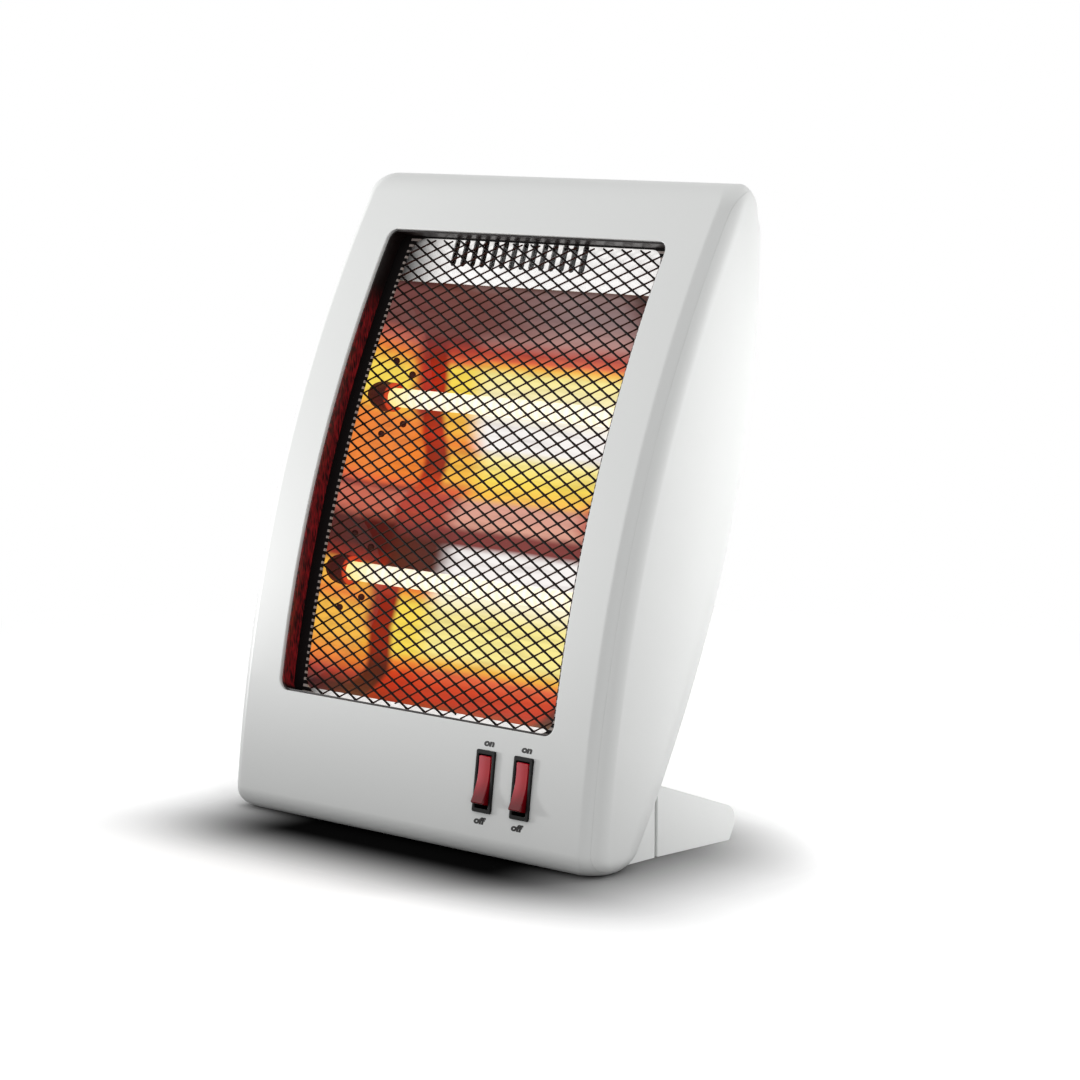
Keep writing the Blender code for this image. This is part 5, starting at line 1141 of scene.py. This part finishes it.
def foot_outline(inset, base):
    front = PLINTH_REAR_Y + GAP + inset
    heel = FOOT_HEEL_RADIUS - inset
    centre_y = FOOT_REAR_Y - FOOT_HEEL_RADIUS
    centre_z = FOOT_LOW - FOOT_HEEL_RADIUS
    points = [(front, base), (centre_y + heel / 2, base), (centre_y + heel, heel)]
    points += [(centre_y + heel * math.cos(angle), centre_z + heel * math.sin(angle))
               for angle in even_steps(0.0, FOOT_HEEL_TURN, 12)]
    return points + [(front, FOOT_HIGH - inset)]


def foot_mesh(sign, inset, base):
    outline = foot_outline(inset, base)
    inner = PLINTH_HALF_WIDTH - FOOT_WIDTH + inset
    outer = PLINTH_HALF_WIDTH - inset
    span = FOOT_REAR_Y - PLINTH_REAR_Y
    near = [(sign * inner, y, z) for y, z in outline]
    far = [(sign * (outer + FOOT_FLARE * (y - PLINTH_REAR_Y) / span), y, z) for y, z in outline]
    return loft([near, far])


def build_foot(side, sign, finish, clearance, backing):
    x = sign * FOOT_X
    cavity = combine(foot_mesh(sign, FOOT_WALL, -NEAR), [("DIFFERENCE", backing.copy())])
    holes = joined([
        pin(x, FOOT_SCREW_HEIGHT, SCREW_HOLE, PLINTH_REAR_Y - NEAR, PLINTH_REAR_Y + FOOT_WALL * 2, 20),
        pin(x, FOOT_SCREW_HEIGHT, DRIVER_HOLE_RADIUS, FOOT_REAR_Y - 4 * FOOT_WALL, FOOT_REAR_Y + NEAR, 32),
    ])
    mesh = combine(foot_mesh(sign, 0.0, 0.0), [
        ("DIFFERENCE", clearance.copy()), ("DIFFERENCE", cavity), ("DIFFERENCE", holes)])
    show("foot_shell_" + side, mesh, finish, ["rear_foot_" + side], smooth=30)


# Guard

def arc_table():
    """Heights up the front past the window's ends, and the arc length up to each."""
    heights = even_steps(WINDOW_BOTTOM - 2 * GUARD_OVERLAP, WINDOW_TOP + 2 * GUARD_OVERLAP, 400)
    lengths = [0.0]
    for low, high in zip(heights, heights[1:]):
        lengths.append(lengths[-1] + math.hypot(high - low, front_y(high) - front_y(low)))
    return heights, lengths


HEIGHTS, LENGTHS = arc_table()


def height_at(length):
    index = min(max(bisect(LENGTHS, length) - 1, 0), len(LENGTHS) - 2)
    share = (length - LENGTHS[index]) / (LENGTHS[index + 1] - LENGTHS[index])
    return HEIGHTS[index] + (HEIGHTS[index + 1] - HEIGHTS[index]) * share


def guard_point(x, length, depth):
    return Vector((x, *behind_front(height_at(length), depth)))


def strand(x_from, x_to, start, slope, half, depth):
    """One strand of the lattice: a bar that swells at each crossing."""
    step = DIAMOND_WIDTH / 4
    rings = []
    for index in range(math.ceil(x_from / step), math.floor(x_to / step) + 1):
        x = index * step
        middle = guard_point(x, start + slope * x, depth)
        heading = (guard_point(x + MM, start + slope * (x + MM), depth) - middle).normalized()
        inward = (guard_point(x, start + slope * x, depth + MM) - middle).normalized()
        across = heading.cross(inward).normalized()
        wide = half * (KNOT_SWELL if index % 2 == 0 else 1.0)
        rings.append([middle + across * wide * a + inward * STRAND_THICKNESS * b
                      for a, b in STRAND_SECTION])
    return loft(rings)


def strand_set(sign, half_width, depth, reach):
    """All strands of the lattice that run one way; reach is (half width, low, high)."""
    half, low, high = reach
    slope = sign * DIAMOND_HEIGHT / DIAMOND_WIDTH
    beyond = math.ceil(half / DIAMOND_WIDTH) + 1
    meshes = []
    for index in range(-beyond, int((high - low) / DIAMOND_HEIGHT) + beyond):
        start = low + index * DIAMOND_HEIGHT
        ends = sorted(((low - start) / slope, (high - start) / slope))
        x_from, x_to = max(ends[0], -half), min(ends[1], half)
        if x_to - x_from > DIAMOND_WIDTH / 2:
            meshes.append(strand(x_from, x_to, start, slope, half_width, depth))
    return joined(meshes)


def build_strands(wire, fine_wire):
    tuck = GUARD_END_BORDER - STRAND_TUCK
    reach = (WINDOW_HALF_WIDTH - GUARD_SIDE_BORDER + STRAND_TUCK,
             2 * GUARD_OVERLAP / math.cos(front_angle(WINDOW_BOTTOM)) + tuck,
             LENGTHS[-1] - 2 * GUARD_OVERLAP / math.cos(front_angle(WINDOW_TOP)) - tuck)
    middle = COLLAR_DEPTH + GAP + GUARD_THICKNESS / 2
    strong = strand_set(-1, STRONG_STRAND, middle - STRONG_FORWARD, reach)
    show("guard_lattice", strong, wire, ["guard_mesh"], smooth=50)
    fine = strand_set(1, FINE_STRAND, middle + FINE_BACKWARD, reach)
    show("guard_cross_strands", fine, fine_wire, smooth=50)


def build_border(finish):
    front = COLLAR_DEPTH + GAP
    back = front + GUARD_THICKNESS
    outside = GUARD_OVERLAP - MM

    def inner_ring(depth):
        return window_ring(-GUARD_SIDE_BORDER, depth, -GUARD_END_BORDER, GUARD_CORNER)

    border = loft([inner_ring(front), window_ring(outside, front),
                   window_ring(outside, back), inner_ring(back)], closed=True)
    show("guard_border", border, finish, smooth=40)


def build_liner(finish):
    inner = -GAP - LINER_THICKNESS
    lining = loft([window_ring(inner, LINER_FRONT), window_ring(-GAP, LINER_FRONT),
                   window_ring(-GAP, COLLAR_DEPTH), window_ring(inner, COLLAR_DEPTH)], closed=True)
    show("window_liner", lining, finish, ["guard_frame"], smooth=40)


def build_chassis(finish):
    """White sheet round the reflector, with its row of vents and its screw holes."""
    back = CHASSIS_FACE + CHASSIS_THICKNESS
    outline = rectangle(-CHASSIS_HALF_WIDTH, CHASSIS_HALF_WIDTH, CHASSIS_BOTTOM, CHASSIS_TOP)
    opening = rectangle(-CHASSIS_OPENING_HALF, CHASSIS_OPENING_HALF,
                        CHASSIS_OPENING_BOTTOM, CHASSIS_OPENING_TOP)
    vents = slots(VENT_COUNT, VENT_PITCH, VENT_WIDTH, VENT_BOTTOM, VENT_TOP, VENT_CENTRE_X)
    cuts = [prism(shape, 0, 2 * back, "y") for shape in (opening, *vents)]
    cuts += [pin(sign * x, z, SCREW_HOLE, 0, 2 * back, 20) for x, z in CHASSIS_SCREWS for _, sign in SIDES]
    mesh = combine(prism(outline, CHASSIS_FACE, back, "y"), [("DIFFERENCE", joined(cuts))])
    show("chassis_sheet", moved(mesh, LEAN), finish, ["chassis_plate"], smooth=30)


# Reflector, tubes and caps

def trough(start, end, depth_start, depth_end):
    points = []
    for share in even_steps(0.0, 1.0, TROUGH_SEGMENTS):
        bow = (4 * share * (1 - share)) ** TROUGH_FULLNESS
        points.append((start + (end - start) * share,
                       depth_start + (depth_end - depth_start) * share + TROUGH_DEPTH * bow))
    return points


def reflector_line():
    face = REFLECTOR_FACE
    ridge = face + RIDGE_SETBACK
    line = [(CHASSIS_OPENING_TOP + REFLECTOR_FLANGE, face)]
    line += trough(CHASSIS_OPENING_TOP, RIDGE_TOP, face, ridge)
    line += trough(RIDGE_BOTTOM, CHASSIS_OPENING_BOTTOM, ridge, face)
    line.append((CHASSIS_OPENING_BOTTOM - REFLECTOR_FLANGE, face))
    return line


def offset_line(line, distance):
    shifted = []
    for index, (z, y) in enumerate(line):
        before = line[max(index - 1, 0)]
        after = line[min(index + 1, len(line) - 1)]
        run_z = after[0] - before[0]
        run_y = after[1] - before[1]
        size = math.hypot(run_z, run_y)
        shifted.append((z + distance * run_y / size, y - distance * run_z / size))
    return shifted


def build_reflector(finish):
    front = reflector_line()
    section = front + offset_line(front, REFLECTOR_THICKNESS)[::-1]
    half = CHASSIS_OPENING_HALF - GAP
    mesh = loft([[(share * (half - END_SLANT * (y - REFLECTOR_FACE)), y, z) for z, y in section]
                 for share in (-1, -0.5, 0, 0.5, 1)])
    show("reflector_troughs", moved(mesh, LEAN), finish, ["reflector"], smooth=40)


def build_end_plate(side, sign, finish, rivet_finish):
    slope = math.hypot(1, END_SLANT)
    skin = REFLECTOR_THICKNESS * slope
    start = CHASSIS_OPENING_HALF - GAP + GAP * slope
    deep = REFLECTOR_FACE + TROUGH_DEPTH + RIDGE_SETBACK + END_MARGIN * 2
    run = END_SLANT * (deep - REFLECTOR_FACE)
    bend = [
        (start, REFLECTOR_FACE), (start + END_FLANGE, REFLECTOR_FACE),
        (start + END_FLANGE, REFLECTOR_FACE + REFLECTOR_THICKNESS),
        (start + skin - END_SLANT * REFLECTOR_THICKNESS, REFLECTOR_FACE + REFLECTOR_THICKNESS),
        (start + skin - run, deep), (start - run, deep),
    ]
    top = CHASSIS_OPENING_TOP + REFLECTOR_FLANGE
    bottom = CHASSIS_OPENING_BOTTOM - REFLECTOR_FLANGE
    mask = [(0.0, top + END_MARGIN), *((y + END_MARGIN, z) for z, y in reflector_line()),
            (0.0, bottom - END_MARGIN)]
    holes = joined([rod(CAP_RADIUS + GAP, sign * CAP_INNER_X / 2, sign * CAP_OUTER_X * 1.2, "x",
                        (0, TUBE_Y, z)) for _, z in LEVELS])
    mesh = combine(prism([(sign * x, y) for x, y in bend], bottom, top, "z"), [
        ("INTERSECT", prism(mask, -FAR, FAR)), ("DIFFERENCE", holes)])
    show("slanted_plate_" + side, moved(mesh, LEAN), finish, ["end_plate_" + side],
         smooth=30)
    turn = Vector((-sign, -END_SLANT, 0)).to_track_quat("Z", "Y").to_matrix().to_4x4()
    rivets = []
    for _, z in LEVELS:
        for rise, depth in RIVETS:
            spot = Vector((sign * (start - END_SLANT * depth), REFLECTOR_FACE + depth, z + rise))
            rivets.append(moved(lathe(RIVET_PROFILE, segments=16), LEAN @ Matrix.Translation(spot) @ turn))
    show("plate_rivets_" + side, joined(rivets), rivet_finish, smooth=50)


def build_tube(level, z, finish):
    inner = TUBE_RADIUS - TUBE_WALL
    tube = lathe([
        (TUBE_RADIUS, -TUBE_HALF_LENGTH + TUBE_ROUND), (TUBE_RADIUS, TUBE_HALF_LENGTH - TUBE_ROUND),
        (TUBE_RADIUS - TUBE_ROUND, TUBE_HALF_LENGTH), (inner, TUBE_HALF_LENGTH),
        (inner, -TUBE_HALF_LENGTH), (TUBE_RADIUS - TUBE_ROUND, -TUBE_HALF_LENGTH),
    ], "x", (0, TUBE_Y, z), 48)
    show("hot_tube_" + level, moved(tube, LEAN), finish, ["quartz_tube_" + level], smooth=50)


def build_coil(level, z, finish):
    """Resistance wire: a helix with a straight tail at each end."""
    tail = TUBE_HALF_LENGTH - COIL_TAIL_SETBACK
    bend = COIL_HALF_LENGTH + COIL_RADIUS
    total = COIL_LOOPS * COIL_STEPS
    path = [(-tail, 0, 0), (-bend, 0, 0)]
    for step in range(total + 1):
        angle = math.tau * step / COIL_STEPS
        x = -COIL_HALF_LENGTH + 2 * COIL_HALF_LENGTH * step / total
        path.append((x, COIL_RADIUS * math.cos(angle), COIL_RADIUS * math.sin(angle)))
    path += [(bend, 0, 0), (tail, 0, 0)]
    centre = Vector((0, TUBE_Y, z))
    coil = swept([centre + Vector(point) for point in path], COIL_WIRE_RADIUS)
    show("hot_coil_" + level, moved(coil, LEAN), finish, ["heating_coil_" + level], smooth=60)


def build_cap(level, side, sign, z, finish):
    bore = TUBE_RADIUS + GAP
    seat = TUBE_HALF_LENGTH + GAP
    profile = [
        (bore + CAP_ROUND / 2, CAP_INNER_X), (CAP_RADIUS - CAP_ROUND, CAP_INNER_X),
        (CAP_RADIUS - CAP_ROUND * 0.3, CAP_INNER_X + CAP_ROUND * 0.3), (CAP_RADIUS, CAP_INNER_X + CAP_ROUND),
        (CAP_RADIUS, CAP_SHOULDER_X - CAP_ROUND), (CAP_RADIUS - CAP_ROUND, CAP_SHOULDER_X),
        (CAP_NECK_RADIUS, CAP_SHOULDER_X), (CAP_NECK_RADIUS, CAP_OUTER_X - CAP_ROUND),
        (CAP_NECK_RADIUS - CAP_ROUND, CAP_OUTER_X), (SCREW_HOLE, CAP_OUTER_X),
        (SCREW_HOLE, seat), (bore, seat), (bore, CAP_INNER_X + CAP_ROUND),
    ]
    mesh = lathe([(r, sign * x) for r, x in profile], "x", (0, TUBE_Y, z), 48)
    place = "cap_%s_%s" % (level, side)
    show(place, moved(mesh, LEAN), finish, ["ceramic_" + place], smooth=40)


# Switches and their lettering

def stack(half_a, half_b, steps, levels):
    """Loft of rounded rectangles; levels are (growth, corner radius, y)."""
    rings = []
    for grow, corner, y in levels:
        outline = rounded_rectangle(half_a + grow, half_b + grow, corner, steps=steps)
        rings.append([(a, y, b) for a, b in outline])
    return loft(rings)


def build_switch(side, x, finishes):
    place = switch_frame(x)
    face = -GAP - FLANGE_THICKNESS
    edge = SWITCH_EDGE
    flange = stack(FLANGE_HALF_WIDTH, FLANGE_HALF_LENGTH, 8, [(grow, FLANGE_CORNER, y) for grow, y in (
        (0, -GAP), (0, face + edge), (-edge * 0.3, face + edge * 0.3), (-edge, face))])
    core = prism(centred(SWITCH_BODY_HALF_WIDTH, SWITCH_BODY_HALF_LENGTH),
                 -GAP - FLANGE_THICKNESS / 2, SWITCH_BODY_DEPTH, "y")
    pocket = stack(POCKET_HALF_WIDTH, POCKET_HALF_LENGTH, 4, [(grow, POCKET_CORNER + grow, y) for grow, y in (
        (edge, -NEAR), (edge, face), (edge * 0.3, face + edge * 0.3), (0, face + edge), (0, POCKET_DEPTH))])
    bearing = rod(TRUNNION_RADIUS + GAP, -NEAR, NEAR, "x", (0, ROCKER_PIVOT_DEPTH, 0), 24)
    mesh = combine(flange, [("UNION", core), ("DIFFERENCE", pocket), ("DIFFERENCE", bearing)])
    show("switch_frame_" + side, moved(mesh, place), finishes["black"],
         ["switch_body_" + side], smooth=40)
    build_rocker(side, place, finishes["red"])
    build_lettering(side, x, finishes["ink"])


def rocker_outline():
    """Side view about the pivot: two slightly hollow halves that meet in a soft crest."""
    crest = ROCKER_CREST - ROCKER_PIVOT_DEPTH
    rise = ROCKER_HALF_LENGTH * math.tan(ROCKER_TILT)
    half = [(crest - rise * share + ROCKER_DISH * math.sin(math.pi * share), ROCKER_HALF_LENGTH * share)
            for share in even_steps(0.0, 1.0, 12)]
    tip_y, tip_z = half.pop()
    half += [(tip_y + back, tip_z - down) for back, down in ROCKER_TIP]
    half += [(ROCKER_END_DEPTH - ROCKER_PIVOT_DEPTH, ROCKER_HALF_LENGTH),
             (ROCKER_KEEL_DEPTH - ROCKER_PIVOT_DEPTH, ROCKER_HALF_LENGTH / 4)]
    return half + [(y, -z) for y, z in reversed(half[1:])]


def build_rocker(side, place, finish):
    half = POCKET_HALF_WIDTH - GAP - ROCKER_SLIM
    edge = ROCKER_EDGE
    outline = rocker_outline()
    rings = []
    for x, shrink in ((-half, edge), (-half + edge * 0.3, edge * 0.3), (-half + edge, 0.0),
                      (half - edge, 0.0), (half - edge * 0.3, edge * 0.3), (half, edge)):
        scale = 1 - shrink / ROCKER_HALF_LENGTH
        rings.append([(x, y * scale + shrink * 0.5, z * scale) for y, z in outline])
    axle = rod(TRUNNION_RADIUS, -TRUNNION_HALF_LENGTH, TRUNNION_HALF_LENGTH, "x", segments=24)
    mesh = combine(loft(rings), [("UNION", axle)])
    pivot = place @ Matrix.Translation((0, ROCKER_PIVOT_DEPTH, 0)) @ Matrix.Rotation(-ROCKER_TILT, 4, "X")
    show("red_rocker_" + side, moved(mesh, pivot), finish, ["rocker_" + side],
         body=side + "_rocker", smooth=35)


def build_lettering(side, x, finish):
    for word, z, shift in WORDS:
        curve = bpy.data.curves.new("letters", "FONT")
        curve.body = word
        curve.size = LETTER_SIZE
        curve.shear = LETTER_SLANT
        curve.align_x = "CENTER"
        curve.align_y = "CENTER"
        curve.extrude = LETTER_RELIEF
        curve.offset = LETTER_SWELL
        mesh = applied(placed("writer", curve))
        stand = (Matrix.Translation((x + shift, front_y(z), z)) @ Matrix.Rotation(-front_angle(z), 4, "X")
                 @ Matrix.Rotation(math.pi / 2, 4, "X") @ Matrix.Diagonal((LETTER_STRETCH, 1, 1, 1)))
        show("print_%s_%s" % (word, side), moved(mesh, stand), finish, smooth=30)


# Screws and gland

def screw_mesh():
    """Cross-head screw along z, with the seat of its head at the origin."""
    head = [(SCREW_HEAD_RADIUS * out, SCREW_HEAD_HEIGHT * up) for out, up in SCREW_DOME]
    shank = [(SCREW_RADIUS, 0), (SCREW_RADIUS, -SCREW_LENGTH + SCREW_RADIUS), (0, -SCREW_LENGTH)]
    turned = lathe(head + shank, "z", segments=32)
    slot_a, slot_b = [prism(centred(*halves), SCREW_HEAD_HEIGHT * 0.3, SCREW_HEAD_HEIGHT * 2, "z")
                      for halves in (SCREW_CROSS, SCREW_CROSS[::-1])]
    return combine(turned, [("DIFFERENCE", combine(slot_a, [("UNION", slot_b)]))])


def build_screws(finish):
    to_rear = Matrix.Rotation(-math.pi / 2, 4, "X")
    screw = screw_mesh()
    places = [("housing", "_" + level, x, front_y(z) + BEZEL_BOSS_LENGTH + GAP + SCREW_SEAT_THICKNESS, z)
              for level, (x, z) in zip(("top", "low"), HOUSING_SCREWS)]
    places.append(("foot", "", FOOT_X, PLINTH_REAR_Y + GAP + FOOT_WALL, FOOT_SCREW_HEIGHT))
    for owner, level, x, seat, z in places:
        for side, sign in SIDES:
            ending = level + "_" + side
            place = Matrix.Translation((sign * x, seat + GAP, z)) @ to_rear
            show(owner + "_fastener" + ending, moved(screw.copy(), place), finish,
                 [owner + "_screw" + ending])


def build_gland(finish):
    seat = gland_pad_face() + GAP
    tip = seat + GLAND_FLANGE_THICKNESS
    edge = GLAND_EDGE
    mesh = lathe([
        (GLAND_BORE_RADIUS, seat - GLAND_LENGTH), (GLAND_NECK_RADIUS, seat - GLAND_LENGTH),
        (GLAND_NECK_RADIUS, seat), (GLAND_FLANGE_RADIUS, seat), (GLAND_FLANGE_RADIUS, tip - edge),
        (GLAND_FLANGE_RADIUS - edge * 0.3, tip - edge * 0.3), (GLAND_FLANGE_RADIUS - edge, tip),
        (GLAND_BORE_RADIUS + edge, tip), (GLAND_BORE_RADIUS, tip - edge),
    ], "y", (GLAND_X, 0, GLAND_HEIGHT), 48)
    show("gland_bush", mesh, finish, ["cord_gland"], smooth=40)


def finish_nodes(finishes):
    """Give the construction's own nodes that stay their finished materials."""
    wanted = {
        "terminal_block": "ceramic", "tip_over_switch": "black",
        "tip_over_plunger": "grey", "tip_over_spring": "steel", "tube_terminal": "steel",
        "chassis_screw": "steel", "switch_tab": "brass", "tip_switch_tab": "brass",
    }
    for name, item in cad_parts.items():
        for start, finish in wanted.items():
            if name.startswith(start):
                item.data.materials.clear()
                item.data.materials.append(finishes[finish])


# Studio

def contact_shadow(tree):
    """Share of the painted soft shadow on the floor, deepest before the front edge."""
    place = node(tree, "SeparateXYZ", {0: place_of(tree)})
    cover = 1.0
    for axis, outside, inside in SHADOW_EDGES:
        share = share_between(tree, place.outputs[axis], outside, inside)
        cover = calc(tree, "MULTIPLY", share, cover)
    return cover


def seen_rays(tree):
    """1 on the rays that show the background: to the camera, off gloss and through glass."""
    path = node(tree, "LightPath", {})
    total = path.outputs["Is Camera Ray"]
    for kind in ("Is Glossy Ray", "Is Transmission Ray"):
        total = calc(tree, "ADD", total, path.outputs[kind], use_clamp=True)
    return total


def build_floor():
    """White floor that keeps the lamps' shadows, carries a painted soft shadow and runs into plain white
    further off.
    """
    floor, tree, shader = new_material("pale_floor", (0.9, 0.9, 0.9, 1.0), 0.9)
    seen = seen_rays(tree)
    grain = ramp(tree, noise(tree, 6.0), [(0.3, (1.5, 1.5, 1.5, 1)), (0.7, (1.52, 1.52, 1.52, 1))])
    shaded = mix(tree, contact_shadow(tree), grain, (0.004, 0.004, 0.004, 1))
    diffuse = node(tree, "BsdfDiffuse", {"Color": mix(tree, seen, (0.14, 0.14, 0.14, 1.0), shaded)})
    away = node(tree, "VectorMath", {0: place_of(tree)}, operation="LENGTH").outputs["Value"]
    far_white = calc(tree, "MULTIPLY", share_between(tree, away, 0.35, 0.7), seen)
    plain = node(tree, "Emission", {"Color": (1, 1, 1, 1), "Strength": 1.0})
    surface = node(tree, "MixShader", {
        0: far_white, 1: diffuse.outputs["BSDF"], 2: plain.outputs["Emission"]})
    tree.nodes.remove(shader)
    feed(tree.nodes["Material Output"].inputs["Surface"], surface.outputs["Shader"])
    mesh = mesh_from([(x, y, FLOOR_Z) for x, y in centred(FLOOR_HALF, FLOOR_HALF)], [(0, 1, 2, 3)])
    mesh.materials.append(floor)
    item = placed("floor", mesh)


def build_world():
    """White background, and a softer light that comes a little more from above."""
    world = bpy.data.worlds.new("studio")
    bpy.context.scene.world = world
    world.use_nodes = True
    tree = world.node_tree
    heading = node(tree, "SeparateXYZ", {0: node(tree, "TexCoord", {}).outputs["Generated"]})
    light = map_range(tree, heading.outputs["Z"], 0.0, 1.0, WORLD_LOW, WORLD_HIGH)
    strength = node(tree, "Mix", {0: seen_rays(tree), 2: light, 3: 1.0}, data_type="FLOAT").outputs[0]
    background = tree.nodes["Background"]
    background.inputs["Color"].default_value = (1, 1, 1, 1)
    feed(background.inputs["Strength"], strength)


def aimed(item, place, heading):
    item.location = place
    item.rotation_euler = heading.to_track_quat("-Z", "Y").to_euler()


def lamp(name, kind, place, target, power):
    """A lamp aimed at a target; it lights the scene but stays out of the picture."""
    light = bpy.data.lights.new(name, kind)
    light.energy = power
    item = placed(name, light)
    aimed(item, place, Vector(target) - Vector(place))
    item.visible_camera = False
    return light


def build_lamps():
    """A tall strip close to the right side, a soft spot at the left front and a weak lamp at the right."""
    strip = lamp("side_strip", "AREA", (0.24, 0.12, 0.16), (0, 0.06, 0.16), 0.31)
    strip.shape = "RECTANGLE"
    strip.size = 0.04
    strip.size_y = 0.35
    spot = lamp("front_spot", "SPOT", (-0.906, -0.423, 0.15), (0, -0.05, 0.36), 31)
    spot.spot_size = math.radians(42)
    spot.spot_blend = 0.6
    spot.shadow_soft_size = 0.08
    fill = lamp("fill_softbox", "AREA", (0.92, -0.77, 0.2), (0, -0.02, 0.1), 1.4)
    fill.size = 0.3


def build_camera():
    camera = bpy.data.cameras.new("camera")
    camera.lens = CAMERA_LENS
    camera.sensor_width = CAMERA_SENSOR
    camera.sensor_fit = "HORIZONTAL"
    camera.clip_start = 0.01
    camera.clip_end = 50
    item = placed("camera", camera)
    level = math.cos(CAMERA_ELEVATION)
    aimed(item, CAMERA_PLACE, Vector((-math.sin(CAMERA_AZIMUTH) * level, math.cos(CAMERA_AZIMUTH) * level,
                                      -math.sin(CAMERA_ELEVATION))))
    bpy.context.scene.camera = item


def build():
    finishes = make_finishes()
    limit = boss_limit()
    build_bezel(finishes["white"], limit)
    build_housing(finishes["white"], limit)
    clearance = hollow_mesh(-GAP)
    backing = hollow_mesh(-GAP - FOOT_WALL)
    for side, sign in SIDES:
        build_foot(side, sign, finishes["white"], clearance, backing)
    build_strands(finishes["wire"], finishes["fine_wire"])
    build_border(finishes["border"])
    build_liner(finishes["liner"])
    build_chassis(finishes["enamel"])
    build_reflector(finishes["glow"])
    for side, sign in SIDES:
        build_end_plate(side, sign, finishes["glow"], finishes["rivet"])
    for level, z in LEVELS:
        build_tube(level, z, finishes["glass"])
        build_coil(level, z, finishes["coil"])
        for side, sign in SIDES:
            build_cap(level, side, sign, z, finishes["cap"])
    for side, x in SWITCH_PLACES:
        build_switch(side, x, finishes)
    build_screws(finishes["steel"])
    build_gland(finishes["black"])
    finish_nodes(finishes)
    build_floor()
    build_world()
    build_camera()
    build_lamps()
    bpy.context.scene.view_settings.view_transform = "Standard"


build()
